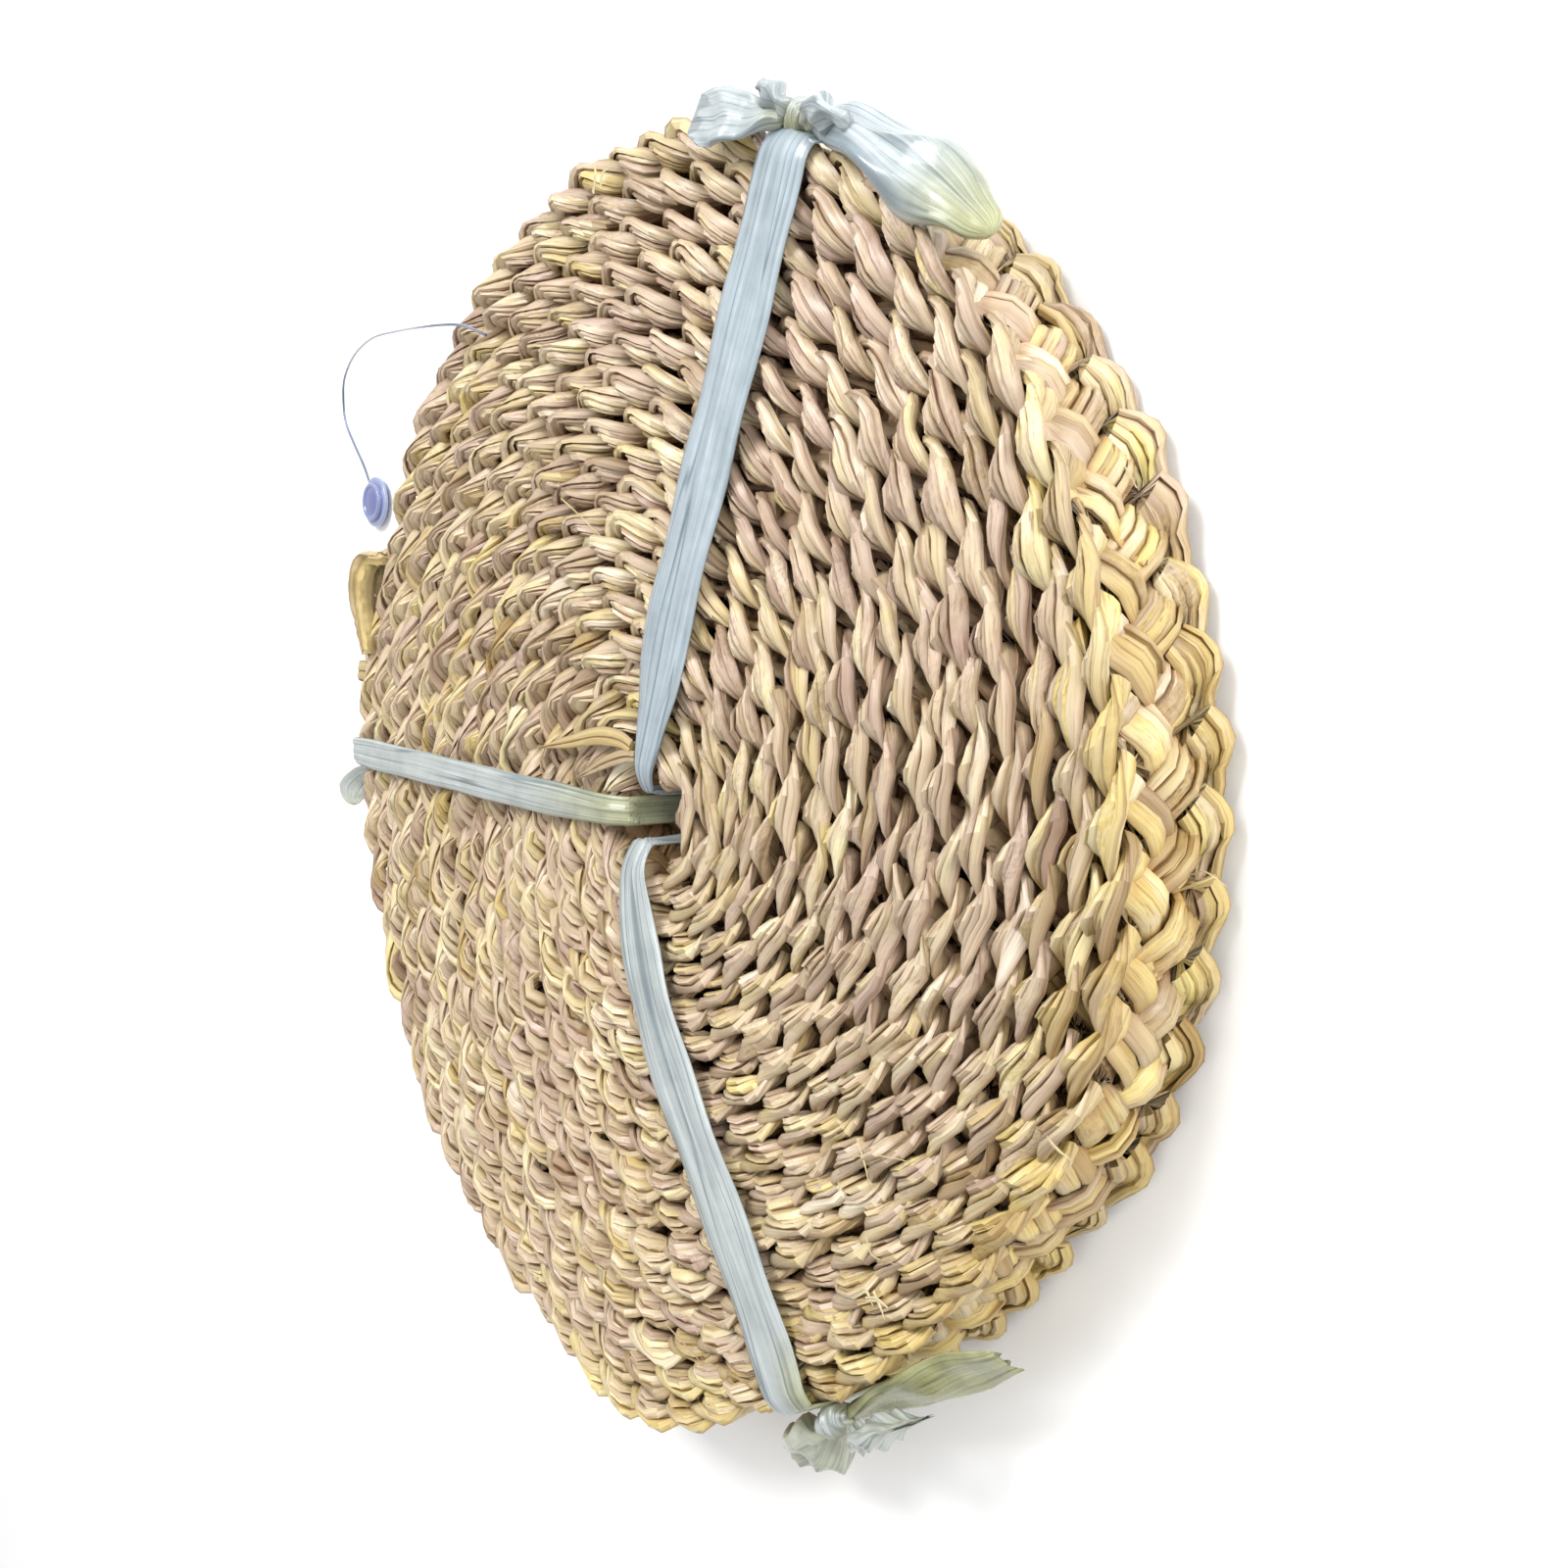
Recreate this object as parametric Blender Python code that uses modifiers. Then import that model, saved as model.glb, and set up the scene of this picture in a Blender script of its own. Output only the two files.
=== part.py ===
"""Coiled rush seat pad.

One long flat plait of dried rush leaves stands on edge and is wound, turn on turn, into a
round flat pad. Three strips of thin plastic film pass through the small centre hole and
round the rim, and hold the coil shut. A hang tag, a filament with a moulded seal, is
caught between the two outermost turns. Units are metres, +Z is up, the pad lies flat.
"""
import math

import bmesh
import bpy
from mathutils import Vector

TAU = 2.0 * math.pi

# The coil
TURNS = 17                        # times the plait goes round
TURN_PITCH = 0.0096               # thickness of the plait, with the gap to the next turn
PLAIT_WIDTH = 0.040               # the plait stands this high on its edge
HOLE_RADIUS = 0.0113              # at the plait's start
COIL_CENTRE = (0.0078, -0.00585)  # the winding is a little off the outline's middle
OFF_ROUND = 0.052                 # a hand-wound coil is wider on one side
OFF_ROUND_AZIMUTH = math.radians(70.0)
PULLED_IN = 0.0100                # the second wide tie holds the outer turns in beside its knot,
PULLED_FROM = math.radians(268.0)
PULLED_TO = math.radians(344.0)
SAG = 0.0060                      # and before it they sag out a little
SAG_AZIMUTH = math.radians(261.0)
SAG_SPREAD = math.radians(9.0)
OUTER_RADIUS = 0.1800
END_AZIMUTH = math.radians(155.0)
CENTRE_DIP = 0.003                # the ties squeeze the plait narrower near the hole
DIP_RADIUS = 0.070
STATIONS_PER_TURN = 32
CORNER_RADIAL = 0.0025            # the plait's rounded edges
CORNER_HEIGHT = 0.0040
PIECE_GAP = 0.0003

# The film ties
FILM_THICKNESS = 0.0006
FILM_BUNCHED = 0.0012             # thickness where a tie is bunched up in the hole
HOLE_TIE_RADIUS = 0.0080          # the ties stand this far out from the hole's axis
HOLE_TIE_WIDTH = 0.0085
RIM_CLEARANCE = 0.0008

# The hang tag
FILAMENT_DIAMETER = 0.0010
SEAL_RADIUS = 0.0100
SEAL_HEIGHT = 0.0052
SEAL_PLACE = (-0.2289, 0.1288)    # from the coil's centre
FILAMENT_ROUTE = (                # from the coil's centre, and up from the floor: out of the
    (-0.0588, 0.1500, 0.0424),    # groove, over the outer turns, off the rim, down to the
    (-0.0700, 0.1555, 0.0440),    # surface that the pad lies on, and round to the seal
    (-0.0830, 0.1590, 0.0438),
    (-0.1040, 0.1637, 0.0409),
    (-0.1400, 0.1720, 0.0320),
    (-0.1785, 0.1797, 0.0231),
    (-0.2136, 0.1826, 0.0142),
    (-0.2394, 0.1803, 0.0071),
    (-0.2500, 0.1750, 0.0035),
    (-0.2520, 0.1655, 0.0024),
    (-0.2460, 0.1555, 0.0022),
    (-0.2380, 0.1450, 0.0023),
)
SEAL_PROFILE = (                  # radius and height of the seal's outline, top to bottom
    (0.0, SEAL_HEIGHT), (0.0052, SEAL_HEIGHT), (0.0068, 0.0046), (0.0074, 0.0036),
    (0.0100, 0.0034), (0.0100, 0.0014), (0.0074, 0.0012), (0.0068, 0.0003), (0.0, 0.0003),
)
SEAL_STEPS = 24
FILAMENT_POINTS = 76

MID_HEIGHT = FILM_THICKNESS + PIECE_GAP + PLAIT_WIDTH / 2


def clear_scene():
    """Start from an empty scene."""
    for thing in list(bpy.data.objects):
        bpy.data.objects.remove(thing, do_unlink=True)


def make_material(name, colour, roughness):
    """A plain Principled material for one kind of stuff."""
    material = bpy.data.materials.new(name)
    material.use_nodes = True
    shader = material.node_tree.nodes["Principled BSDF"]
    shader.inputs["Base Color"].default_value = (*colour, 1.0)
    shader.inputs["Roughness"].default_value = roughness
    shader.inputs["Metallic"].default_value = 0.0
    material.diffuse_color = (*colour, 1.0)
    return material


def add_object(name, mesh, material, collection):
    """Put a finished mesh in the scene under its own name."""
    piece = bpy.data.objects.new(name, mesh)
    mesh.materials.append(material)
    collection.objects.link(piece)
    return piece


def ease(share):
    """A smooth step from 0 to 1."""
    share = min(1.0, max(0.0, share))
    return share * share * (3.0 - 2.0 * share)


def plan(radius, azimuth):
    """A place in plan, on the slightly off-round coil."""
    about = azimuth % TAU
    pulled = PULLED_IN * ease((about - PULLED_FROM) / math.radians(18.0)) \
        * ease((PULLED_TO - about) / math.radians(30.0))
    sag = SAG * math.exp(-((about - SAG_AZIMUTH) / SAG_SPREAD) ** 2)
    radius += (sag - pulled) * (radius / OUTER_RADIUS) ** 3
    stretch = 1.0 + OFF_ROUND * math.cos(azimuth - OFF_ROUND_AZIMUTH)
    x = COIL_CENTRE[0] + radius * stretch * math.cos(azimuth)
    y = COIL_CENTRE[1] + radius * stretch * math.sin(azimuth)
    return Vector((x, y, 0.0))


def half_width(radius):
    """Half the plait's standing height, less towards the hole."""
    inside = max(0.0, 1.0 - (radius / DIP_RADIUS) ** 2)
    return PLAIT_WIDTH / 2 - CENTRE_DIP * inside ** 2


def turns_inward(azimuth):
    """The part of a turn between the plait's outer end and an azimuth, back along the coil."""
    return ((azimuth - END_AZIMUTH) % TAU) / TAU


def rim_radius(azimuth):
    """Outer face of the outermost turn, before the off-round stretch."""
    return HOLE_RADIUS + TURN_PITCH * (TURNS + 1 - turns_inward(azimuth)) - PIECE_GAP


def loft(name, rings, material, collection, closed=False):
    """Skin a row of like rings of points; open rows get flat caps."""
    mesh_builder = bmesh.new()
    rows = [[mesh_builder.verts.new(point) for point in ring] for ring in rings]
    pairs = list(zip(rows, rows[1:]))
    if closed:
        pairs.append((rows[-1], rows[0]))
    count = len(rings[0])
    for first, second in pairs:
        for i in range(count):
            j = (i + 1) % count
            mesh_builder.faces.new((first[i], first[j], second[j], second[i]))
    if not closed:
        mesh_builder.faces.new(rows[0])
        mesh_builder.faces.new(rows[-1])
    bmesh.ops.recalc_face_normals(mesh_builder, faces=mesh_builder.faces)
    mesh = bpy.data.meshes.new(name)
    mesh_builder.to_mesh(mesh)
    mesh_builder.free()
    return add_object(name, mesh, material, collection)


def plait_section(wind, thickness, height_share=1.0):
    """Outline of the plait, cut square to its run, after winding this far from the start."""
    azimuth = END_AZIMUTH + TURNS * TAU - wind
    inner = HOLE_RADIUS + TURN_PITCH * wind / TAU
    tall = half_width(inner + TURN_PITCH / 2) * height_share
    corner = min(CORNER_RADIAL, thickness * 0.3)
    outline = (
        (0.0, CORNER_HEIGHT - tall), (corner, -tall),
        (thickness - corner, -tall), (thickness, CORNER_HEIGHT - tall),
        (thickness, tall - CORNER_HEIGHT), (thickness - corner, tall),
        (corner, tall), (0.0, tall - CORNER_HEIGHT),
    )
    ring = []
    for outward, up in outline:
        point = plan(inner + outward, azimuth)
        point.z = MID_HEIGHT + up
        ring.append(point)
    return ring


def make_turns(material, collection):
    """The coil, one node a turn; the plait runs on from each turn into the next."""
    thickness = TURN_PITCH - PIECE_GAP
    for turn in range(TURNS):
        middle = HOLE_RADIUS + TURN_PITCH * (turn + 0.5)
        cut = PIECE_GAP / 2 / middle
        winds = [TAU * (turn + step / STATIONS_PER_TURN) for step in range(STATIONS_PER_TURN + 1)]
        winds[0] += cut
        winds[-1] -= cut
        rings = [plait_section(wind, thickness) for wind in winds]
        loft(f"plait_turn_{turn + 1:02d}", rings, material, collection)


def make_outer_end(material, collection):
    """The plait's outer end, folded over on itself and tucked: a stub thicker than a turn."""
    start = TURNS * TAU + PIECE_GAP / HOLE_RADIUS / TURNS
    stub = ((0.0, 0.0093, 0.96), (0.035, 0.0150, 0.94), (0.075, 0.0205, 0.90), (0.115, 0.0200, 0.84),
            (0.145, 0.0110, 0.76))
    rings = [plait_section(start + along, thick, share) for along, thick, share in stub]
    loft("plait_outer_end", rings, material, collection)


def make_start_leaves(material, collection):
    """Tips of the leaves that the plait starts from, lying over the innermost turns."""
    tips = (
        ("start_leaf_long", ((0.020, 96.0), (0.026, 122.0), (0.036, 143.0), (0.050, 154.0)), 0.0045),
        ("start_leaf_short", ((0.0165, 88.0), (0.017, 112.0), (0.021, 138.0), (0.029, 156.0)), 0.0035),
    )
    thick = 0.0009
    for name, route, wide in tips:
        places = [plan(radius, math.radians(azimuth)) for radius, azimuth in route]
        rings = []
        for i, place in enumerate(places):
            ahead = places[min(i + 1, len(places) - 1)] - places[max(i - 1, 0)]
            side = Vector((-ahead.y, ahead.x, 0.0)).normalized()
            share = (0.8, 1.0, 0.8, 0.25)[i]
            radius = (place - plan(0.0, 0.0)).length
            low = MID_HEIGHT + half_width(radius + wide) + PIECE_GAP + 0.0004
            half = side * wide * share / 2
            up = Vector((0.0, 0.0, thick))
            base = Vector((place.x, place.y, low))
            rings.append([base - half, base + half, base + half + up, base - half + up])
        loft(name, rings, material, collection)


def make_loose_leaf(material, collection):
    """One leaf end that has sprung out of the rim and curled."""
    azimuth = math.radians(162.0)
    edge = plan(rim_radius(azimuth), azimuth)
    outward = (edge - plan(0.0, 0.0)).normalized()
    side = Vector((-outward.y, outward.x, 0.0))
    rings = []
    for step in range(7):
        along = step / 6
        reach = 0.0007 + 0.017 * math.sin(along * math.pi * 0.62) / math.sin(math.pi * 0.62)
        middle = edge + outward * reach + side * (0.007 * along ** 2)
        middle.z = MID_HEIGHT + 0.0095 + 0.0045 * math.sin(along * math.pi)
        across = Vector((0.0, 0.0, 0.0021 - 0.0010 * along))
        thin = side * 0.00045
        rings.append([middle - across - thin, middle - across + thin,
                      middle + across + thin, middle + across - thin])
    loft("loose_leaf_end", rings, material, collection)


def bezier(a, b, c, d, t):
    """Point on a cubic curve."""
    s = 1.0 - t
    return a * s ** 3 + b * 3 * s * s * t + c * 3 * s * t * t + d * t ** 3


def tie_route(hole_azimuth, rim_azimuth):
    """Plan route of a tie over a face, from the hole to the rim, with its side directions."""
    hole_way = Vector((math.cos(hole_azimuth), math.sin(hole_azimuth), 0.0))
    hole = plan(0.0, 0.0) + hole_way * HOLE_TIE_RADIUS
    edge = plan(rim_radius(rim_azimuth), rim_azimuth)
    rim_way = (edge - plan(0.0, 0.0)).normalized()
    rim = edge + rim_way * (RIM_CLEARANCE + FILM_THICKNESS / 2)
    stops = (0.0, 0.03, 0.08, 0.14, 0.22, 0.32, 0.45, 0.6, 0.75, 0.88, 0.96, 1.0)
    route = [bezier(hole, hole + hole_way * 0.045, rim - rim_way * 0.050, rim, t) for t in stops]
    ways = []
    for i in range(len(route)):
        ways.append((route[min(i + 1, len(route) - 1)] - route[max(i - 1, 0)]).normalized())
    ways[0] = hole_way
    ways[-1] = rim_way
    return route, ways


def make_tie_band(name, hole_azimuth, rim_azimuth, width, material, collection):
    """A tie's band: a closed loop over the face, round the rim, under the pad, up the hole."""
    route, ways = tie_route(hole_azimuth, rim_azimuth)
    centre = plan(0.0, 0.0)
    bend = 0.0010
    stations = []
    for place, way in zip(route, ways):
        distance = (place - centre).length
        grow = min(1.0, max(0.0, (distance - HOLE_TIE_RADIUS) / 0.030))
        wide = HOLE_TIE_WIDTH + (width - HOLE_TIE_WIDTH) * grow
        thick = FILM_BUNCHED + (FILM_THICKNESS - FILM_BUNCHED) * grow
        clear = half_width(math.hypot(distance, wide / 2) * 1.06) + PIECE_GAP
        stations.append((place, way, wide, thick, clear + thick / 2))
    rings = []

    def add_ring(place, way, wide, thick, up, lean):
        """One cut through the film; lean turns its thickness from upright to outward."""
        side = Vector((-way.y, way.x, 0.0)) * wide / 2
        through = (Vector((0.0, 0.0, math.cos(lean))) + way * math.sin(lean)) * thick / 2
        middle = Vector((place.x, place.y, MID_HEIGHT + up))
        rings.append([middle - side - through, middle + side - through,
                      middle + side + through, middle - side + through])

    quarter = math.pi / 2
    place, way, wide, thick, up = stations[0]
    inward = 1.0 - math.cos(quarter / 2)
    add_ring(place, way, wide, thick, up - bend, -quarter)
    add_ring(place + way * bend * inward, way, wide, thick, up - bend * inward, -quarter / 2)
    add_ring(place + way * bend, way, wide, thick, up, 0.0)
    for place, way, wide, thick, up in stations[1:-1]:
        add_ring(place, way, wide, thick, up, 0.0)
    place, way, wide, thick, up = stations[-1]
    add_ring(place - way * bend, way, wide, thick, up, 0.0)
    add_ring(place - way * bend * inward, way, wide, thick, up - bend * inward, quarter / 2)
    add_ring(place, way, wide, thick, up - bend, quarter)
    add_ring(place, way, wide, thick, bend - up, quarter)
    add_ring(place - way * bend * inward, way, wide, thick, bend * inward - up, 1.5 * quarter)
    add_ring(place - way * bend, way, wide, thick, -up, 2 * quarter)
    for place, way, wide, thick, up in reversed(stations[1:-1]):
        add_ring(place, way, wide, thick, -up, 2 * quarter)
    place, way, wide, thick, up = stations[0]
    add_ring(place + way * bend, way, wide, thick, -up, 2 * quarter)
    add_ring(place + way * bend * inward, way, wide, thick, bend * inward - up, 2.5 * quarter)
    add_ring(place, way, wide, thick, bend - up, 3 * quarter)
    loft(name, rings, material, collection, closed=True)


def rim_place(azimuth, outward, up):
    """A place outside the rim: at an azimuth, this far out from it and this far up."""
    place = plan(rim_radius(azimuth), azimuth)
    way = (place - plan(0.0, 0.0)).normalized()
    return place + way * outward + Vector((0.0, 0.0, MID_HEIGHT + up))


def make_knot(name, azimuth, outward, up, size, material, collection):
    """A tie's knot: a lump of film pulled tight against the rim."""
    mesh_builder = bmesh.new()
    bmesh.ops.create_uvsphere(mesh_builder, u_segments=12, v_segments=8, radius=0.5)
    middle = rim_place(azimuth, outward, up)
    way = Vector((math.cos(azimuth), math.sin(azimuth), 0.0))
    side = Vector((-way.y, way.x, 0.0))
    for corner in mesh_builder.verts:
        x, y, z = corner.co
        corner.co = middle + way * x * size[0] + side * y * size[1] + Vector((0.0, 0.0, z * size[2]))
    mesh = bpy.data.meshes.new(name)
    mesh_builder.to_mesh(mesh)
    mesh_builder.free()
    add_object(name, mesh, material, collection)


def make_film_part(name, route, sections, material, collection):
    """A loop or tail of film, lofted along a route of (azimuth, outward, up) places.

    Each section is (width, thickness, tilt): tilt turns the width from upright to outward.
    """
    places = [rim_place(math.radians(azimuth), outward, up) for azimuth, outward, up in route]
    rings = []
    for i, (place, (wide, thick, tilt)) in enumerate(zip(places, sections)):
        ahead = (places[min(i + 1, len(places) - 1)] - places[max(i - 1, 0)]).normalized()
        out = Vector((ahead.y, -ahead.x, 0.0)).normalized()
        if out.dot(place - plan(0.0, 0.0)) < 0.0:
            out.negate()
        over = ahead.cross(out).normalized()
        if over.z < 0.0:
            over.negate()
        lean = math.radians(tilt)
        across = over * math.cos(lean) + out * math.sin(lean)
        through = out * math.cos(lean) - over * math.sin(lean)
        ring = []
        for corner in range(8):
            turn = TAU * corner / 8
            ring.append(place + across * math.cos(turn) * wide / 2 + through * math.sin(turn) * thick / 2)
        rings.append(ring)
    loft(name, rings, material, collection)


def make_bow_tie(material, collection):
    """The tie that ends in a bow: a long puffed loop, a short loop, a stub loop and two tails."""
    make_tie_band("bow_tie_band", math.radians(62.0), math.radians(59.9), 0.0205, material, collection)
    make_knot("bow_tie_knot", math.radians(59.6), 0.0068, 0.0130, (0.0095, 0.012, 0.010),
              material, collection)
    make_film_part(
        "bow_tie_long_loop",
        ((57.2, 0.0075, 0.0150), (53.5, 0.0080, 0.0175), (48.0, 0.0088, 0.0190), (42.5, 0.0092, 0.0190),
         (38.0, 0.0092, 0.0175), (35.2, 0.0090, 0.0155)),
        ((0.006, 0.004, -30), (0.013, 0.007, -38), (0.020, 0.0090, -42), (0.022, 0.0100, -42),
         (0.018, 0.0085, -42), (0.008, 0.0040, -42)), material, collection)
    make_film_part(
        "bow_tie_short_loop",
        ((57.6, 0.0085, 0.0225), (55.8, 0.0098, 0.0265), (53.6, 0.0112, 0.0285), (51.6, 0.0120, 0.0285)),
        ((0.003, 0.003, 20), (0.008, 0.0045, 25), (0.008, 0.0045, 30), (0.003, 0.003, 30)),
        material, collection)
    make_film_part(
        "bow_tie_stub_loop",
        ((60.8, 0.0090, 0.0195), (61.5, 0.0110, 0.0225), (62.2, 0.0135, 0.0245), (62.8, 0.0155, 0.0255)),
        ((0.004, 0.003, 30), (0.010, 0.0050, 35), (0.011, 0.0055, 35), (0.007, 0.0035, 35)),
        material, collection)
    make_film_part(
        "bow_tie_tails",
        ((62.4, 0.0070, 0.0165), (64.6, 0.0060, 0.0215), (67.4, 0.0050, 0.0242), (70.2, 0.0045, 0.0250),
         (72.6, 0.0045, 0.0250)),
        ((0.003, 0.0025, -40), (0.007, 0.0025, -55), (0.011, 0.0022, -68), (0.013, 0.0020, -72),
         (0.012, 0.0014, -72)), material, collection)


def make_knotted_tie(material, collection):
    """The tie that ends in a plain knot: a wide cut tail, a frayed tail and a crumpled loop."""
    make_tie_band("knotted_tie_band", math.radians(262.0), math.radians(290.6), 0.0195,
                  material, collection)
    make_knot("knotted_tie_knot", math.radians(293.8), 0.0066, 0.0140, (0.0095, 0.013, 0.0105),
              material, collection)
    make_film_part(
        "knotted_tie_wide_tail",
        ((297.2, 0.0065, 0.0145), (301.0, 0.0070, 0.0160), (306.0, 0.0075, 0.0170), (311.5, 0.0075, 0.0170),
         (316.5, 0.0070, 0.0160)),
        ((0.006, 0.003, -30), (0.013, 0.003, -40), (0.018, 0.0026, -44), (0.019, 0.0022, -44),
         (0.013, 0.0014, -44)), material, collection)
    make_film_part(
        "knotted_tie_frayed_tail",
        ((297.0, 0.0130, 0.0200), (299.6, 0.0150, 0.0225), (302.4, 0.0155, 0.0235), (305.0, 0.0150, 0.0230)),
        ((0.003, 0.003, 0), (0.009, 0.0035, 0), (0.011, 0.0035, 0), (0.007, 0.0025, 0)),
        material, collection)
    make_film_part(
        "knotted_tie_crumpled_loop",
        ((290.8, 0.0085, 0.0100), (288.2, 0.0110, 0.0075), (285.8, 0.0115, 0.0040), (283.8, 0.0105, 0.0000)),
        ((0.006, 0.005, -20), (0.013, 0.0075, -25), (0.015, 0.0085, -25), (0.009, 0.0050, -25)),
        material, collection)


def make_side_tie(material, collection):
    """The narrow tie, pulled into a cord-like strip, with its knot at the rim and a cut tail."""
    make_tie_band("side_tie_band", math.radians(171.0), math.radians(170.7), 0.0105, material, collection)
    make_knot("side_tie_knot", math.radians(172.8), 0.0064, 0.0060, (0.0085, 0.0095, 0.0090),
              material, collection)
    make_film_part(
        "side_tie_tail",
        ((174.2, 0.0095, 0.0090), (174.4, 0.0115, 0.0130), (174.2, 0.0130, 0.0165), (173.8, 0.0140, 0.0200)),
        ((0.004, 0.002, 20), (0.009, 0.0016, 25), (0.011, 0.0014, 25), (0.003, 0.0010, 25)),
        material, collection)


def smooth_route(points, count):
    """Evenly stepped points on a smooth curve through the given route."""
    knots = [2 * points[0] - points[1], *points, 2 * points[-1] - points[-2]]
    fine = []
    for i in range(1, len(knots) - 2):
        p0, p1, p2, p3 = knots[i - 1:i + 3]
        for step in range(40):
            t = step / 40
            fine.append(0.5 * (2 * p1 + (p2 - p0) * t + (2 * p0 - 5 * p1 + 4 * p2 - p3) * t * t
                               + (3 * p1 - p0 - 3 * p2 + p3) * t ** 3))
    fine.append(points[-1])
    lengths = [0.0]
    for a, b in zip(fine, fine[1:]):
        lengths.append(lengths[-1] + (b - a).length)
    route = []
    where = 0
    for step in range(count):
        target = lengths[-1] * step / (count - 1)
        while where < len(fine) - 2 and lengths[where + 1] < target:
            where += 1
        span = max(lengths[where + 1] - lengths[where], 1e-9)
        route.append(fine[where].lerp(fine[where + 1], (target - lengths[where]) / span))
    return route


def make_filament(material, collection):
    """The clear filament of the hang tag."""
    centre = plan(0.0, 0.0)
    points = [centre + Vector(point) for point in FILAMENT_ROUTE]
    seal = centre + Vector((*SEAL_PLACE, FILAMENT_ROUTE[-1][2]))
    points.append(seal + (points[-1] - seal).normalized() * (SEAL_RADIUS + PIECE_GAP))
    route = smooth_route(points, FILAMENT_POINTS)
    curve = bpy.data.curves.new("tag_filament", "CURVE")
    curve.dimensions = "3D"
    curve.bevel_depth = FILAMENT_DIAMETER / 2
    curve.bevel_resolution = 2
    curve.use_fill_caps = True
    line = curve.splines.new("POLY")
    line.points.add(len(route) - 1)
    for point, place in zip(line.points, route):
        point.co = (*place, 1.0)
    curve.materials.append(material)
    filament = bpy.data.objects.new("tag_filament", curve)
    collection.objects.link(filament)


def make_seal(material, collection):
    """The moulded seal: a low round button with a thin flange, turned about its axis."""
    mesh = bpy.data.meshes.new("tag_seal")
    edges = [(i, i + 1) for i in range(len(SEAL_PROFILE) - 1)]
    mesh.from_pydata([(radius, 0.0, up) for radius, up in SEAL_PROFILE], edges, [])
    seal = add_object("tag_seal", mesh, material, collection)
    seal.location = plan(0.0, 0.0) + Vector((*SEAL_PLACE, 0.0))
    turned = seal.modifiers.new("turned", "SCREW")
    turned.steps = SEAL_STEPS
    turned.render_steps = SEAL_STEPS
    turned.use_merge_vertices = True
    turned.merge_threshold = 0.00001
    turned.use_normal_calculate = True


clear_scene()
PAD = bpy.data.collections.new("rush_seat_pad")
bpy.context.scene.collection.children.link(PAD)
RUSH = make_material("dried_rush", (0.60, 0.49, 0.33), 0.55)
FILM = make_material("tie_film", (0.70, 0.78, 0.80), 0.35)
FILAMENT = make_material("clear_filament", (0.62, 0.65, 0.75), 0.25)
SEAL = make_material("tinted_seal", (0.52, 0.54, 0.74), 0.22)

make_turns(RUSH, PAD)
make_outer_end(RUSH, PAD)
make_start_leaves(RUSH, PAD)
make_loose_leaf(RUSH, PAD)
make_bow_tie(FILM, PAD)
make_knotted_tie(FILM, PAD)
make_side_tie(FILM, PAD)
make_filament(FILAMENT, PAD)
make_seal(SEAL, PAD)
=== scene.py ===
import math

import bmesh
import bpy
import numpy as np
from mathutils import Matrix, Vector


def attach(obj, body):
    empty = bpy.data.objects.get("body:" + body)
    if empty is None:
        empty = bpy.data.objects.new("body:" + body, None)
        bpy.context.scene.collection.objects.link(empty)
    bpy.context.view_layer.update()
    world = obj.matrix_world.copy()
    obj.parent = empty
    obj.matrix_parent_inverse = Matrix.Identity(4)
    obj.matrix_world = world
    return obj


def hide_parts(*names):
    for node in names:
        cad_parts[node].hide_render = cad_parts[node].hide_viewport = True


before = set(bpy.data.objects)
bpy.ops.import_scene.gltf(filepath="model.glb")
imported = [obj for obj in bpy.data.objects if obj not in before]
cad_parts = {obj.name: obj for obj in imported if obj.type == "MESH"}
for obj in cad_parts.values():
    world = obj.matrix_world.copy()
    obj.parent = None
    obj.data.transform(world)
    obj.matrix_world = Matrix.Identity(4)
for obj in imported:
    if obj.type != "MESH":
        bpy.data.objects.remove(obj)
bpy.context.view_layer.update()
TAU = 2.0 * math.pi


# ---------------------------------------------------------------- the room
# A pale sweep of studio floor under the pad, with soft boxes above it, and the
# camera low at the pad's right with its top towards the pad's far side.
coil_centre = Vector((0.0078, -0.00585, 0.0))
face_height = 0.0409

camera_data = bpy.data.cameras.new("camera")
camera_data.sensor_width = 36.0
camera_data.lens = 41.06
camera = bpy.data.objects.new("camera", camera_data)
camera.matrix_world = Matrix((
    (0.60728, 0.04247, 0.79335, coil_centre.x + 0.42685),
    (-0.06976, 0.99756, 0.0, coil_centre.y + 0.00601),
    (-0.79142, -0.05534, 0.60876, face_height + 0.27120),
    (0.0, 0.0, 0.0, 1.0),
))
bpy.context.scene.collection.objects.link(camera)
bpy.context.scene.camera = camera

bpy.ops.object.select_all(action="DESELECT")
bpy.ops.mesh.primitive_plane_add(size=12.0, location=(0.0, 0.0, -0.0002))
floor = bpy.context.object
floor.name = "studio_floor"
floor_paint = bpy.data.materials.new("floor_paint")
floor_paint.use_nodes = True
floor_shader = floor_paint.node_tree.nodes["Principled BSDF"]
floor_shader.inputs["Base Color"].default_value = (0.93, 0.93, 0.93, 1.0)
floor_shader.inputs["Roughness"].default_value = 0.9
floor.data.materials.append(floor_paint)

world = bpy.data.worlds.new("studio_air")
world.use_nodes = True
world.node_tree.nodes["Background"].inputs["Color"].default_value = (1.0, 1.0, 1.0, 1.0)
world.node_tree.nodes["Background"].inputs["Strength"].default_value = 0.80
bpy.context.scene.world = world
bpy.context.scene.view_settings.view_transform = "Standard"

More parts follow.
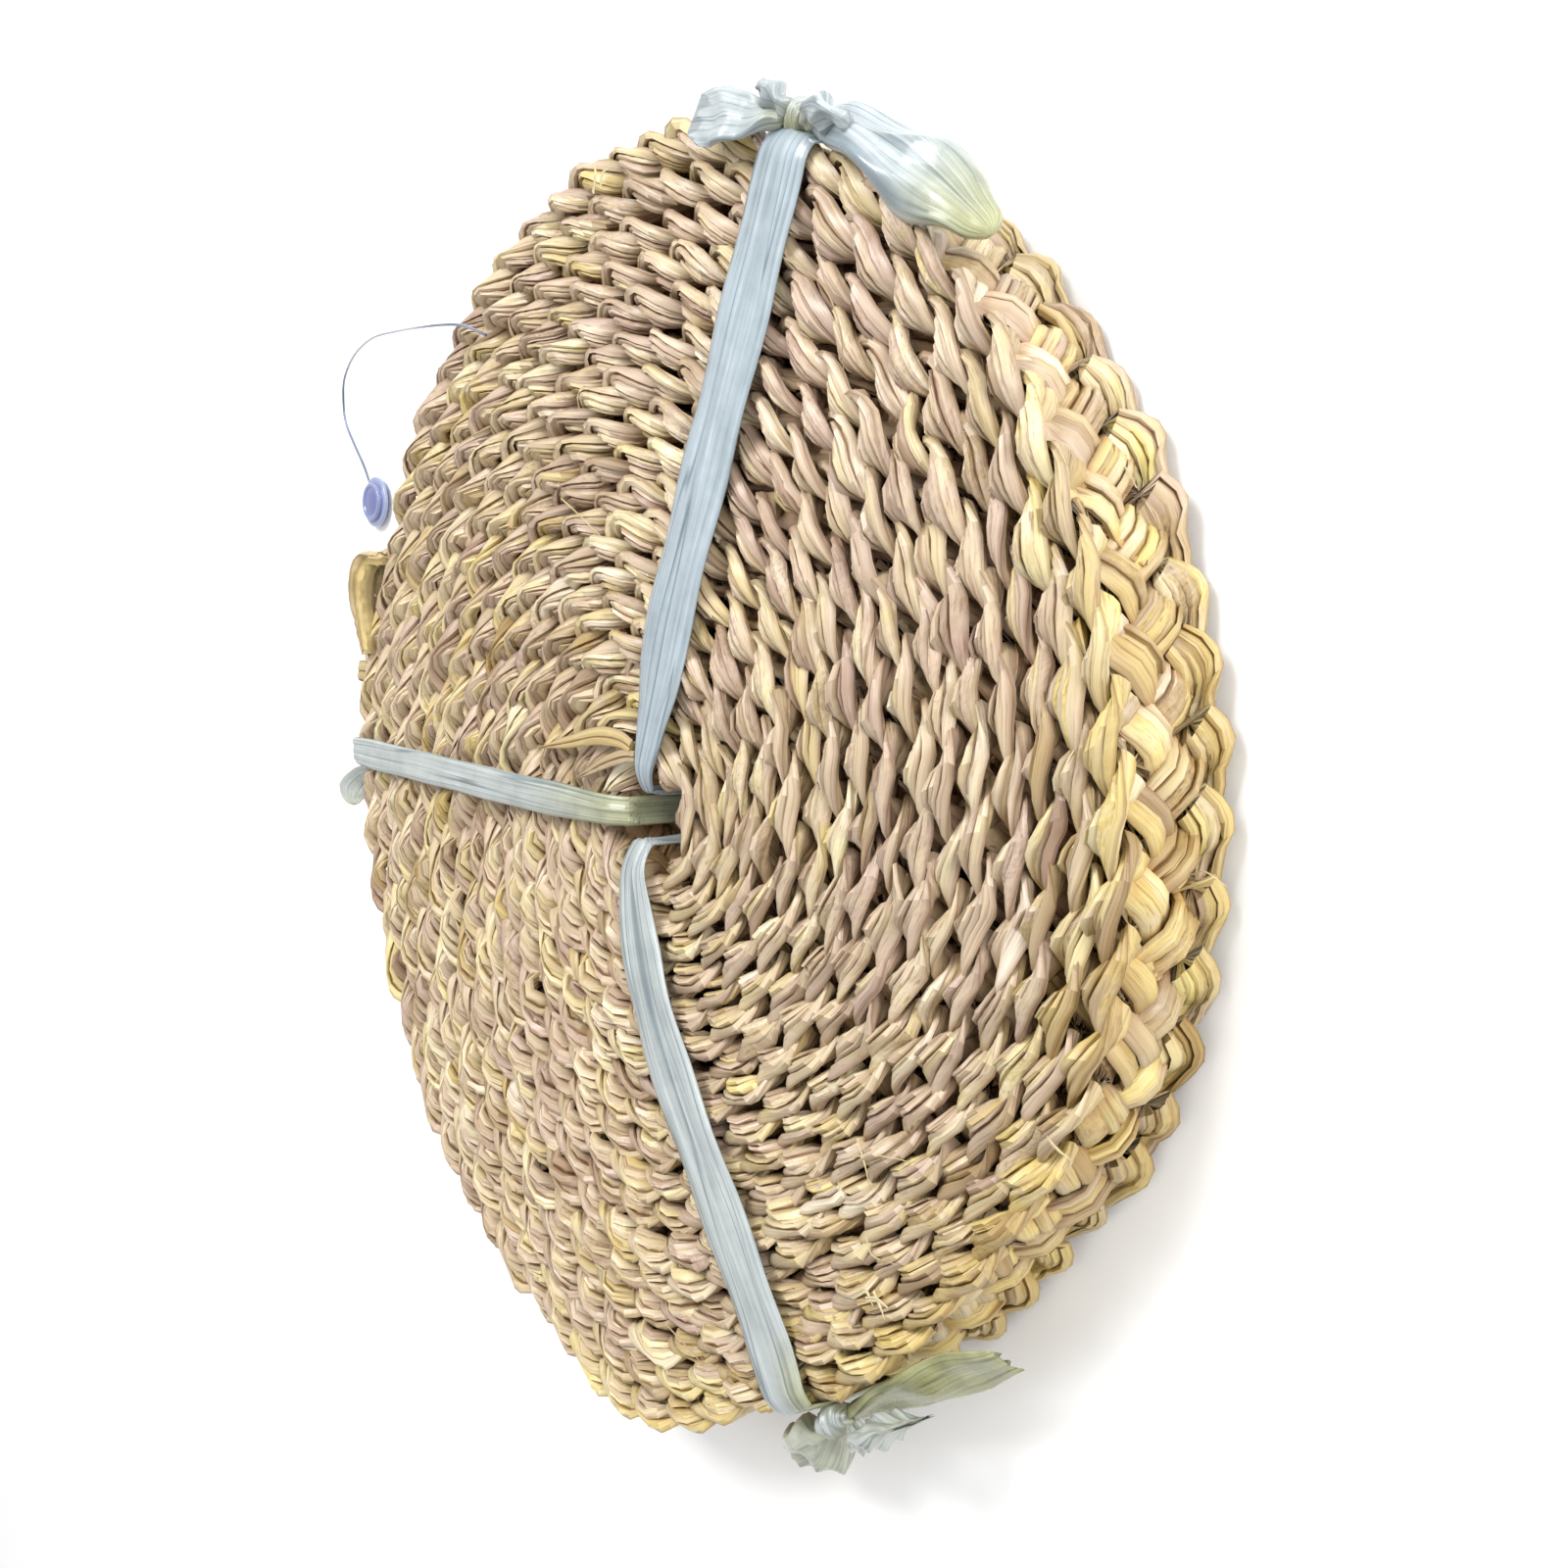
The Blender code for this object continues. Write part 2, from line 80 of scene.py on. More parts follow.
soft_boxes = (
    ("key_box", (0.15, 0.95, 1.20), 0.7, 22.0),
    ("side_box", (1.30, 0.35, 0.45), 0.8, 14.0),
)
for name, place, size, power in soft_boxes:
    lamp_data = bpy.data.lights.new(name, "AREA")
    lamp_data.size = size
    lamp_data.energy = power
    lamp = bpy.data.objects.new(name, lamp_data)
    lamp.location = place
    lamp.rotation_euler = (-Vector(place)).to_track_quat("-Z", "Y").to_euler()
    bpy.context.scene.collection.objects.link(lamp)


# ---------------------------------------------------------------- the hang tag
# A clear extruded filament caught between turns near the rim, run down to the
# floor and round to its moulded seal, a low tinted button with a clear flange.
class Blend:
    """A socket of a material; arithmetic on it adds the nodes."""

    def __init__(self, tree, socket=None):
        self.tree = tree
        self.socket = socket

    def node(self, kind, settings=None, inputs=None, output=0):
        """Add a node of a type, with its settings and its sockets' values or links."""
        made = self.tree.nodes.new(kind)
        for name, value in (settings or {}).items():
            if name == "stops":
                while len(made.color_ramp.elements) < len(value):
                    made.color_ramp.elements.new(0.5)
                for stop, (place, colour) in zip(made.color_ramp.elements, value):
                    stop.position = place
                    stop.color = (*colour, 1.0)
            else:
                setattr(made, name, value)
        for name, value in (inputs or {}).items():
            if isinstance(value, Blend):
                self.tree.links.new(value.socket, made.inputs[name])
            else:
                made.inputs[name].default_value = value
        return Blend(self.tree, made.outputs[output])

    def maths(self, operation, first, second):
        return self.node("ShaderNodeMath", {"operation": operation}, {0: first, 1: second})

    def __add__(self, other):
        return self.maths("ADD", self, other)

    __radd__ = __add__

    def __mul__(self, other):
        return self.maths("MULTIPLY", self, other)

    __rmul__ = __mul__

    def __sub__(self, other):
        return self.maths("SUBTRACT", self, other)

    def __rsub__(self, other):
        return self.maths("SUBTRACT", other, self)

    def mixed(self, other, share, how="MIX"):
        """This colour and another, mixed by a share."""
        return self.node("ShaderNodeMix", {"data_type": "RGBA", "blend_type": how},
                         {0: share, 6: self, 7: other}, 2)

    def feeds(self, shader, name):
        """Link this to a socket of the shader."""
        self.tree.links.new(self.socket, shader.inputs[name])


def new_material(name):
    """An empty Principled material: it, its shader and a place to build nodes from."""
    material = bpy.data.materials.new(name)
    material.use_nodes = True
    return material, material.node_tree.nodes["Principled BSDF"], Blend(material.node_tree)


filament_stuff, shader, nodes = new_material("extruded_filament")
cloud = nodes.node("ShaderNodeTexNoise", None, {"Vector": nodes.node("ShaderNodeTexCoord", None, None, 3),
                                               "Scale": 90.0, "Detail": 2.0})
nodes.node("ShaderNodeValToRGB", {"stops": ((0.35, (0.07, 0.09, 0.14)), (0.65, (0.16, 0.19, 0.28)))},
           {0: cloud}).feeds(shader, "Base Color")
(cloud * 0.2 + 0.12).feeds(shader, "Roughness")
shader.inputs["Coat Weight"].default_value = 0.6
shader.inputs["Coat Roughness"].default_value = 0.08

filament_route = (
    (-0.0588, 0.1500, 0.0424), (-0.0700, 0.1555, 0.0440), (-0.0830, 0.1590, 0.0438),
    (-0.1040, 0.1637, 0.0409), (-0.1400, 0.1720, 0.0320), (-0.1785, 0.1797, 0.0231),
    (-0.2136, 0.1826, 0.0142), (-0.2394, 0.1803, 0.0071), (-0.2500, 0.1750, 0.0035),
    (-0.2520, 0.1655, 0.0024), (-0.2460, 0.1555, 0.0022), (-0.2380, 0.1450, 0.0023),
)
seal_place = coil_centre + Vector((-0.2289, 0.1288, 0.0))


def smooth_line(points, count):
    """Evenly stepped points on a smooth curve through the given points."""
    knots = np.array([tuple(p) for p in points])
    knots = np.vstack([2 * knots[0] - knots[1], knots, 2 * knots[-1] - knots[-2]])
    t = np.linspace(0.0, 1.0, 40, endpoint=False)[:, None]
    fine = []
    for a, b, c, d in zip(knots, knots[1:], knots[2:], knots[3:]):
        fine.append(0.5 * (2 * b + (c - a) * t + (2 * a - 5 * b + 4 * c - d) * t ** 2
                           + (3 * b - a - 3 * c + d) * t ** 3))
    fine = np.vstack(fine + [knots[-2:-1]])
    run = np.concatenate([[0.0], np.cumsum(np.linalg.norm(np.diff(fine, axis=0), axis=1))])
    where = np.linspace(0.0, run[-1], count)
    return np.stack([np.interp(where, run, fine[:, axis]) for axis in range(3)], 1), run[-1]


filament_points = [coil_centre + Vector(point) for point in filament_route]
seal_side = Vector((seal_place.x, seal_place.y, 0.0023))
filament_points.append(seal_side + (filament_points[-1] - seal_side).normalized() * 0.0103)
filament_line, filament_length = smooth_line(filament_points, 76)
filament_curve = bpy.data.curves.new("tag_filament_clear", "CURVE")
filament_curve.dimensions = "3D"
filament_curve.bevel_depth = 0.0005
filament_curve.bevel_resolution = 3
filament_curve.use_fill_caps = True
spline = filament_curve.splines.new("POLY")
spline.points.add(len(filament_line) - 1)
for point, place in zip(spline.points, filament_line):
    point.co = (*place, 1.0)
filament_curve.materials.append(filament_stuff)
filament = bpy.data.objects.new("tag_filament_clear", filament_curve)
bpy.context.scene.collection.objects.link(filament)
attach(filament, "tag")
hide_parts("tag_filament")

seal_stuff, shader, nodes = new_material("tinted_seal_plastic")
place = nodes.node("ShaderNodeTexCoord", None, None, 3)
cloud = nodes.node("ShaderNodeTexNoise", None, {"Vector": place, "Scale": 160.0, "Detail": 3.0})
round_about = nodes.node("ShaderNodeMapping", None,
                         {"Vector": place, "Location": tuple(-seal_place)})
reach = nodes.node("ShaderNodeVectorMath", {"operation": "LENGTH"}, {0: round_about}, 1)
nodes.node("ShaderNodeValToRGB", {"stops": (
    (0.0, (0.08, 0.10, 0.27)), (0.60, (0.10, 0.12, 0.30)), (0.74, (0.15, 0.18, 0.37)),
    (1.0, (0.26, 0.30, 0.46)))},
    {0: reach * 100.0 + cloud * 0.12 - 0.06}).feeds(shader, "Base Color")
(cloud * 0.2 + 0.08).feeds(shader, "Roughness")
shader.inputs["Coat Weight"].default_value = 0.7
shader.inputs["Coat Roughness"].default_value = 0.05

bpy.ops.object.select_all(action="DESELECT")
bpy.ops.mesh.primitive_cylinder_add(vertices=64, radius=0.0073, depth=0.0046,
                                    location=seal_place + Vector((0.0, 0.0, 0.0027)))
seal = bpy.context.object
seal.name = "tag_seal_moulded"
bpy.ops.object.mode_set(mode="EDIT")
bpy.ops.mesh.select_all(action="DESELECT")
builder = bmesh.from_edit_mesh(seal.data)
for face in builder.faces:
    face.select_set(face.normal.z > 0.9)
bmesh.update_edit_mesh(seal.data)
bpy.ops.mesh.inset(thickness=0.0012)
bpy.ops.mesh.inset(thickness=0.0006)
bpy.ops.transform.translate(value=(0.0, 0.0, -0.0007))
bpy.ops.mesh.inset(thickness=0.0018)
bpy.ops.transform.translate(value=(0.0, 0.0, 0.0005))
bpy.ops.object.mode_set(mode="OBJECT")
bevel = seal.modifiers.new("rounded", "BEVEL")
bevel.width = 0.0004
bevel.segments = 3
bevel.limit_method = "ANGLE"
bpy.ops.object.modifier_apply(modifier="rounded")
bpy.ops.mesh.primitive_cylinder_add(vertices=64, radius=0.0098, depth=0.0016,
                                    location=seal_place + Vector((0.0, 0.0, 0.0024)))
flange = bpy.context.object
flange.name = "tag_seal_flange"
bevel = flange.modifiers.new("rounded", "BEVEL")
bevel.width = 0.0006
bevel.segments = 3
bevel.limit_method = "ANGLE"
bpy.ops.object.modifier_apply(modifier="rounded")
for piece in (seal, flange):
    bpy.ops.object.select_all(action="DESELECT")
    piece.select_set(True)
    bpy.context.view_layer.objects.active = piece
    bpy.ops.object.transform_apply(location=True, rotation=True, scale=True)
    bpy.ops.object.shade_smooth_by_angle(angle=math.radians(40))
    piece.data.materials.append(seal_stuff)
    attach(piece, "tag")
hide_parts("tag_seal")


# ---------------------------------------------------------------- the plait
# Dried rush leaves, folded lengthways, two to four to a strand. Five strands are
# interlaced over and under into one flat plait, and the plait stands on edge and is
# wound into the coil. Each strand turns back at the plait's two edges, and these
# folds are what the pad's faces show.
turns = 17
turn_pitch = 0.0096
hole_radius = 0.0113
end_azimuth = math.radians(155.0)
plait_width = 0.040
mid_height = 0.0209
lobe = 0.0170                     # between the folds along a turn
half_period = 2.5 * lobe          # a strand crosses the plait in this
rim_pull, rim_sag = 0.0100, 0.0060      # beside the second wide tie's knot, and before it
off_round = 0.052


def ease(share):
    """A smooth step from 0 to 1."""
    share = np.clip(share, 0.0, 1.0)
    return share * share * (3.0 - 2.0 * share)


def plan(radius, azimuth):
    """Places in plan on the slightly off-round coil, for arrays of radius and azimuth."""
    about = np.mod(azimuth, TAU)
    pulled = rim_pull * ease((about - math.radians(268.0)) / math.radians(18.0)) \
        * ease((math.radians(344.0) - about) / math.radians(30.0))
    sag = rim_sag * np.exp(-((about - math.radians(261.0)) / math.radians(9.0)) ** 2)
    radius = radius + (sag - pulled) * (radius / 0.1800) ** 3
    stretch = 1.0 + off_round * np.cos(azimuth - math.radians(70.0))
    return np.stack([coil_centre.x + radius * stretch * np.cos(azimuth),
                     coil_centre.y + radius * stretch * np.sin(azimuth)], -1)


def half_width(radius):
    """Half the plait's standing height, less towards the hole."""
    return plait_width / 2 - 0.003 * np.maximum(0.0, 1.0 - (radius / 0.070) ** 2) ** 2


wind = np.linspace(0.0, turns * TAU, 24001)
mid_radius = hole_radius + turn_pitch * wind / TAU + turn_pitch / 2
mid_line = plan(mid_radius, end_azimuth + turns * TAU - wind)
run = np.concatenate([[0.0], np.cumsum(np.linalg.norm(np.diff(mid_line, axis=0), axis=1))])
plait_length = run[-1]


def wander(rng, along, step, size):
    """A smooth random value along the plait, with a new aim every step."""
    aims = rng.normal(0.0, size, int(plait_length / step) + 4)
    where = along / step + 1.0
    low = np.floor(where).astype(int)
    part = ease(where - low)
    return aims[low] * (1.0 - part) + aims[low + 1] * part


def plait_frame(along):
    """The plait's mid-line, its outward way and its turn's radius at distances along it."""
    w = np.interp(along, run, wind)
    radius = hole_radius + turn_pitch * w / TAU + turn_pitch / 2
    azimuth = end_azimuth + turns * TAU - w
    middle = plan(radius, azimuth)
    ahead = plan(radius + turn_pitch * 0.001 / TAU, azimuth - 0.001) - middle
    ahead /= np.linalg.norm(ahead, axis=1)[:, None]
    outward = np.stack([-ahead[:, 1], ahead[:, 0]], 1)
    facing = np.sign(np.sum(outward * (middle - np.array(coil_centre)[:2]), 1))
    return middle, outward * facing[:, None], radius


def unit(ways):
    """Ways brought to length 1."""
    return ways / np.linalg.norm(ways, axis=-1, keepdims=True)


def skin(name, rings, attributes, material, looped=False):
    """A mesh through rows of ring points, capped or looped, with a value for each point."""
    count, around = rings.shape[:2]
    row = np.arange(count if looped else count - 1)[:, None]
    first, following = row * around, (row + 1) % count * around
    i = np.arange(around)[None, :]
    j = (i + 1) % around
    faces = np.stack([first + i, first + j, following + j, following + i], -1).reshape(-1, 4).tolist()
    if not looped:
        faces += [list(range(around))[::-1], list(range((count - 1) * around, count * around))]
    mesh = bpy.data.meshes.new(name)
    mesh.from_pydata(rings.reshape(-1, 3).tolist(), [], faces)
    mesh.update()
    for key, value in attributes.items():
        layer = mesh.attributes.new(key, "FLOAT", "POINT")
        layer.data.foreach_set("value", np.ascontiguousarray(value.reshape(-1), np.float32))
    builder = bmesh.new()
    builder.from_mesh(mesh)
    bmesh.ops.recalc_face_normals(builder, faces=builder.faces)
    builder.to_mesh(mesh)
    builder.free()
    mesh.materials.append(material)
    piece = bpy.data.objects.new(name, mesh)
    bpy.context.scene.collection.objects.link(piece)
    return piece


def rush_leaf(name, rings, values):
    """A leaf's skin, smooth but for its folds, riding with the pad."""
    count = len(rings)
    outline = {"across": leaf_outline[:, 0], "side": leaf_outline[:, 1],
               "groove": np.arange(sides) == fold_corner}
    values.update({key: np.tile(value.astype(float), count) for key, value in outline.items()})
    piece = skin(name, rings, values, rush_stuff)
    bpy.ops.object.select_all(action="DESELECT")
    piece.select_set(True)
    bpy.context.view_layer.objects.active = piece
    bpy.ops.object.shade_smooth_by_angle(angle=math.radians(34))
    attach(piece, "pad")
    return piece


rush_stuff, shader, nodes = new_material("dried_rush_leaf")
along_leaf, across_leaf, side_leaf, tone_leaf, deep_leaf, groove_leaf, hue_leaf = (
    nodes.node("ShaderNodeAttribute", {"attribute_name": name}, None, 2)
    for name in ("along", "across", "side", "tone", "deep", "groove", "hue"))
place = nodes.node("ShaderNodeTexCoord", None, None, 3)
fibre_place = nodes.node("ShaderNodeCombineXYZ", None, {0: along_leaf * 16.0 + tone_leaf * 40.0,
                                                       1: across_leaf * 4.2, 2: side_leaf * 4.2})
fibre = nodes.node("ShaderNodeTexNoise", None, {"Vector": fibre_place, "Scale": 1.0, "Detail": 3.0,
                                               "Roughness": 0.6})
broad_place = nodes.node("ShaderNodeCombineXYZ", None, {0: along_leaf * 38.0 + tone_leaf * 90.0,
                                                       1: across_leaf * 1.1, 2: side_leaf * 1.1})
broad = nodes.node("ShaderNodeTexNoise", None, {"Vector": broad_place, "Scale": 1.0, "Detail": 2.0})
region = nodes.node("ShaderNodeTexNoise", None, {"Vector": place, "Scale": 14.0, "Detail": 3.0})
base = nodes.node("ShaderNodeValToRGB", {"stops": (
    (0.00, (0.34, 0.24, 0.145)), (0.18, (0.43, 0.33, 0.225)), (0.36, (0.50, 0.405, 0.285)),
    (0.52, (0.56, 0.46, 0.30)), (0.68, (0.61, 0.52, 0.335)), (0.84, (0.66, 0.585, 0.40)),
    (1.00, (0.74, 0.69, 0.52)))},
    {0: tone_leaf * 0.9 + broad * 0.5 + region * 0.3 - 0.38})
# The hue attribute, turned by this ramp from mauve to yellow, holds the leaves' own tone, a painted golden
# reflection on one side of the rim, and a mauve cast on one side of the face that is partly painted cool
# light.
hue_cloud = nodes.node("ShaderNodeTexNoise", None, {"Vector": broad_place, "Scale": 0.31, "Detail": 1.0})
mauve = nodes.node("ShaderNodeValToRGB", {"stops": (
    (0.12, (0.92, 0.86, 0.98)), (0.42, (0.98, 0.97, 1.0)), (0.60, (1.0, 1.0, 0.86)),
    (0.90, (1.0, 0.95, 0.56)))},
    {0: hue_leaf * 0.36 + hue_cloud * 0.9 - 0.01})
# Painted shade: each leaf is darkened along its two long edges, the dark lines where the leaves of a strand
# meet.
rims = nodes.node("ShaderNodeMath", {"operation": "ABSOLUTE"}, {0: across_leaf})
painted_edge_shade = nodes.node("ShaderNodeValToRGB", {"stops": (
    (0.80, (1.0, 1.0, 1.0)), (0.97, (0.52, 0.42, 0.34)))}, {0: rims + fibre * 0.12 - 0.06})
streak = nodes.node("ShaderNodeValToRGB", {"stops": (
    (0.30, (0.46, 0.33, 0.23)), (0.42, (0.88, 0.84, 0.78)), (0.60, (1.0, 1.0, 1.0)))}, {0: fibre})
streaked = base.mixed(mauve, 1.0, "MULTIPLY").mixed(streak, 0.8, "MULTIPLY").mixed(painted_edge_shade, 0.8, "MULTIPLY")
# Painted shade: the fold groove down each leaf is darkened, as the shade in its crease.
split = nodes.node("ShaderNodeValToRGB", {"stops": (
    (0.45, (1.0, 1.0, 1.0)), (0.80, (0.40, 0.28, 0.20)))}, {0: groove_leaf + fibre * 0.4 - 0.2})
# Painted shade: where 'deep' is low, down between the turns, the leaves are darkened; the pad's faces and the
# rim's outer side keep their colour.
painted_gap_shade = nodes.node("ShaderNodeValToRGB", {"stops": (
    (0.0, (0.88, 0.72, 0.56)), (0.45, (0.96, 0.90, 0.82)), (1.0, (1.0, 1.0, 1.0)))}, {0: deep_leaf})
streaked.mixed(split, 0.95, "MULTIPLY").mixed(painted_gap_shade, 1.0, "MULTIPLY").feeds(shader, "Base Color")
(0.50 - fibre * 0.30 + broad * 0.1).feeds(shader, "Roughness")
nodes.node("ShaderNodeBump", None, {"Strength": 0.5, "Distance": 0.0006,
                                   "Height": fibre * 0.7 + broad * 0.8}).feeds(shader, "Normal")
shader.inputs["Specular IOR Level"].default_value = 0.5
shader.inputs["Coat Weight"].default_value = 0.16
shader.inputs["Coat Roughness"].default_value = 0.28

stations_per_half = 16
strand_side = 0.00245             # a strand's way to either side of the plait's middle
fold_inset = 0.0030               # the folds turn this far inside the plait's edges
strand_half_span = 0.0077
leaf_thickness = 0.00155
sag_at = 0.0060                   # across a strand, where its leaves droop by 1.4 mm
turn_over = 0.29                  # of a crossing, over which a strand turns over at a fold
fold_corner = 3                   # the outline's corner in the fold
leaf_outline = np.array((         # across and through a leaf, with its fold in the upper side
    (1.00, 0.00), (0.74, 0.78), (0.36, 1.00), (0.10, 0.30), (-0.18, 1.02), (-0.68, 0.80),
    (-1.00, 0.00), (-0.55, -0.70), (0.00, -0.80), (0.55, -0.70)))
sides = len(leaf_outline)
station_count = int(plait_length / half_period * stations_per_half)
along = np.linspace(0.0005, plait_length - 0.0005, station_count)
middle, outward, radius = plait_frame(along)
lift = wander(np.random.default_rng(7), along, 0.11, 0.0009)
strand_names = ("first", "second", "third", "fourth", "fifth")
leaf_sheds = (-0.36, 0.02, 0.37)
for strand, strand_name in enumerate(strand_names):
    rng = np.random.default_rng(100 + strand)
    where = along / half_period + 0.4 * strand
    step = where - np.floor(where)
    wave = np.arcsin(0.962 * np.cos(math.pi * where)) / math.asin(0.962)
    over = np.where(step < 0.2, np.sin(step / 0.2 * math.pi / 2),
                    np.where(step > 0.8, -np.sin((1.0 - step) / 0.2 * math.pi / 2),
                             -np.cos(step * math.pi / 0.2)))
    edge_near = np.exp(-(np.minimum(step, 1.0 - step) / 0.14) ** 2)
    bunch = wander(rng, along, half_period, 1.0)
    height = half_width(radius) - fold_inset + lift + 0.0007 * wander(rng, along, lobe, 1.0)
    up = wave * height
    out = -over * strand_side * (1.0 + 0.05 * bunch)
    centre = np.concatenate([middle + outward * out[:, None], (mid_height + up)[:, None]], 1)
    tangent = unit(np.gradient(centre, axis=0))
    falling = np.where(np.floor(where) % 2 == 0, 1.0, -1.0)
    from_edge = np.minimum(np.minimum(step, 1.0 - step) / turn_over, 1.0) ** 1.15
    turned = falling * np.where((step > turn_over) & (step < 1.0 - turn_over), 1.0,
                                np.where(step < 0.5, 1.0, -1.0) * from_edge)
    lean = -math.pi / 2 * turned + 0.12 * wander(rng, along, half_period / 2, 1.0)
    outward3 = np.concatenate([outward, np.zeros((station_count, 1))], 1)
    normal = np.cos(lean)[:, None] * np.array((0.0, 0.0, 1.0)) + np.sin(lean)[:, None] * outward3
    normal = unit(normal - tangent * np.sum(normal * tangent, 1)[:, None])
    sideways = np.cross(tangent, normal)
    drape = edge_near[:, None] * np.sign(wave)[:, None] * np.array((0.0, 0.0, 1.0)) \
        + (1.0 - edge_near)[:, None] * np.sign(out)[:, None] * outward3
    run_way = np.concatenate([np.stack([outward[:, 1], -outward[:, 0]], 1), np.zeros((station_count, 1))], 1)
    half_span = strand_half_span * (1.0 - 0.10 * edge_near + 0.05 * bunch)
    for leaf, shed in enumerate(leaf_sheds):
        shift = shed + 0.13 * wander(rng, along, half_period, 1.0)
        share = 0.40 + 0.07 * wander(rng, along, half_period, 1.0)
        thick = leaf_thickness * (1.0 + 0.10 * wander(rng, along, half_period / 2, 1.0) + 0.30 * edge_near)
        rise = 0.00060 * wander(rng, along, half_period / 2, 1.0)
        roll = 0.32 * wander(rng, along, half_period / 2, 1.0)
        fold = (np.arange(sides) == fold_corner)[None, :] \
            * (0.22 * wander(rng, along, half_period, 1.0))[:, None]
        x = (leaf_outline[:, 0][None, :] + fold) * (half_span * share)[:, None]
        y = leaf_outline[:, 1][None, :] * thick[:, None] + rng.normal(0.0, 0.00010, (station_count, sides))
        xr = x * np.cos(roll)[:, None] - y * np.sin(roll)[:, None]
        yr = x * np.sin(roll)[:, None] + y * np.cos(roll)[:, None]
        xr = xr + (half_span * shift)[:, None]
        sag = 0.0014 * (xr / sag_at) ** 2 * (0.5 + 0.7 * edge_near)[:, None]
        rings = centre[:, None, :] + sideways[:, None, :] * xr[..., None] \
            + run_way[:, None, :] * (0.75 * edge_near[:, None] * xr)[..., None] \
            + normal[:, None, :] * (yr + rise[:, None])[..., None] - drape[:, None, :] * sag[..., None]
        rings[..., 2] = np.maximum(rings[..., 2], 0.0002)      # clear of the floor
        tone = np.clip(0.47 + 0.20 * wander(rng, along, 0.19, 1.0)
                       + 0.17 * wander(rng, along, half_period, 1.0), 0.0, 1.0)
        # 'deep' runs from 0 at the plait's middle height, down between the turns, to 1 towards the pad's
        # faces; the material darkens its low end as painted shade, and the rim's outer side is raised so that
        # it stays nearly unshaded.
        depth = np.abs(rings[..., 2] - mid_height) / half_width(radius)[:, None]
        deep = np.clip((depth - 0.42) / 0.42, 0.0, 1.0)
        outside = (radius > radius[-1] - turn_pitch)[:, None] * np.clip(-over * 1.5, 0.0, 1.0)[:, None]
        deep = np.maximum(deep, outside * 0.9)
        # Painted reflection: a golden hue for warm bounced light, on the outer turns around azimuth -31
        # degrees and stronger on the rim's outer side.
        turn_about = np.arctan2(middle[:, 1] - coil_centre.y, middle[:, 0] - coil_centre.x)
        painted_golden_reflection = np.clip(np.cos(turn_about + 0.55), 0.0, 1.0) \
            * np.clip((radius - 0.120) / 0.055, 0.0, 1.0) ** 2
        # Partly the leaves' own tone and partly a painted cool cast of the light: the face around azimuth +31
        # degrees, about a radius of 12.8 cm, is pulled towards mauve.
        pinkish_tone_and_light = np.clip(np.cos(turn_about - 0.55) * 1.3 - 0.2, 0.0, 1.0) \
            * np.exp(-((radius - 0.128) / 0.040) ** 2)
        hue = painted_golden_reflection * (0.9 + 0.5 * outside[:, 0]) - pinkish_tone_and_light * 0.6 + 0.18 * wander(rng, along, 0.10, 1.0) \
            + 0.42 * wander(rng, along, half_period, 1.0)
        flat = np.ones((1, sides))
        piece = rush_leaf(
            f"plait_{strand_name}_strand_leaf_{leaf + 1}", rings,
            {"along": along[:, None] * flat, "tone": tone[:, None] * flat, "deep": deep,
             "hue": hue[:, None] * flat})
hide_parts(*[f"plait_turn_{turn:02d}" for turn in range(1, turns + 1)])


# ---------------------------------------------------------------- loose leaves and ends
# The plait's outer end is folded over and tucked against the rim. The leaves it starts
# from lie over the innermost turns, one leaf end has sprung out of the rim and curled,
# and split fibres stand off the face here and there.
def leaf_strip(name, places, wide, facing, tone, hue, thick=0.0006, count=26, spans=None):
    """One leaf along places: its widths, and the way that its face looks or its width spans."""
    line, length = smooth_line(places, count)
    ahead = unit(np.gradient(line, axis=0))
    sideways = unit(np.cross(np.array(facing), ahead))
    if spans is not None:
        sideways = unit(spans - ahead * np.sum(spans * ahead, 1)[:, None])
    upper = np.cross(ahead, sideways)
    share = np.linspace(0.0, 1.0, count)
    spread = np.interp(share, np.linspace(0.0, 1.0, len(wide)), wide)[:, None] / 2
    bumps = np.random.default_rng(int(length * 1e6)).normal(0.0, thick * 0.15, (count, sides))
    rings = line[:, None, :] + sideways[:, None, :] * (leaf_outline[:, 0] * spread)[..., None] \
        + upper[:, None, :] * (leaf_outline[:, 1] * thick + bumps)[..., None]
    flat = np.ones((1, sides))
    return rush_leaf(name, rings, {"along": (share * length)[:, None] * flat + tone,
                                   "tone": tone * np.ones((count, 1)) * flat, "deep": np.ones((count, sides)),
                                   "hue": hue * np.ones((count, 1)) * flat})


def coil_place(radius, degrees, height):
    """A place on the coil at a radius, an azimuth and a height over the floor."""
    x, y = plan(radius, math.radians(degrees))
    return (x, y, height)


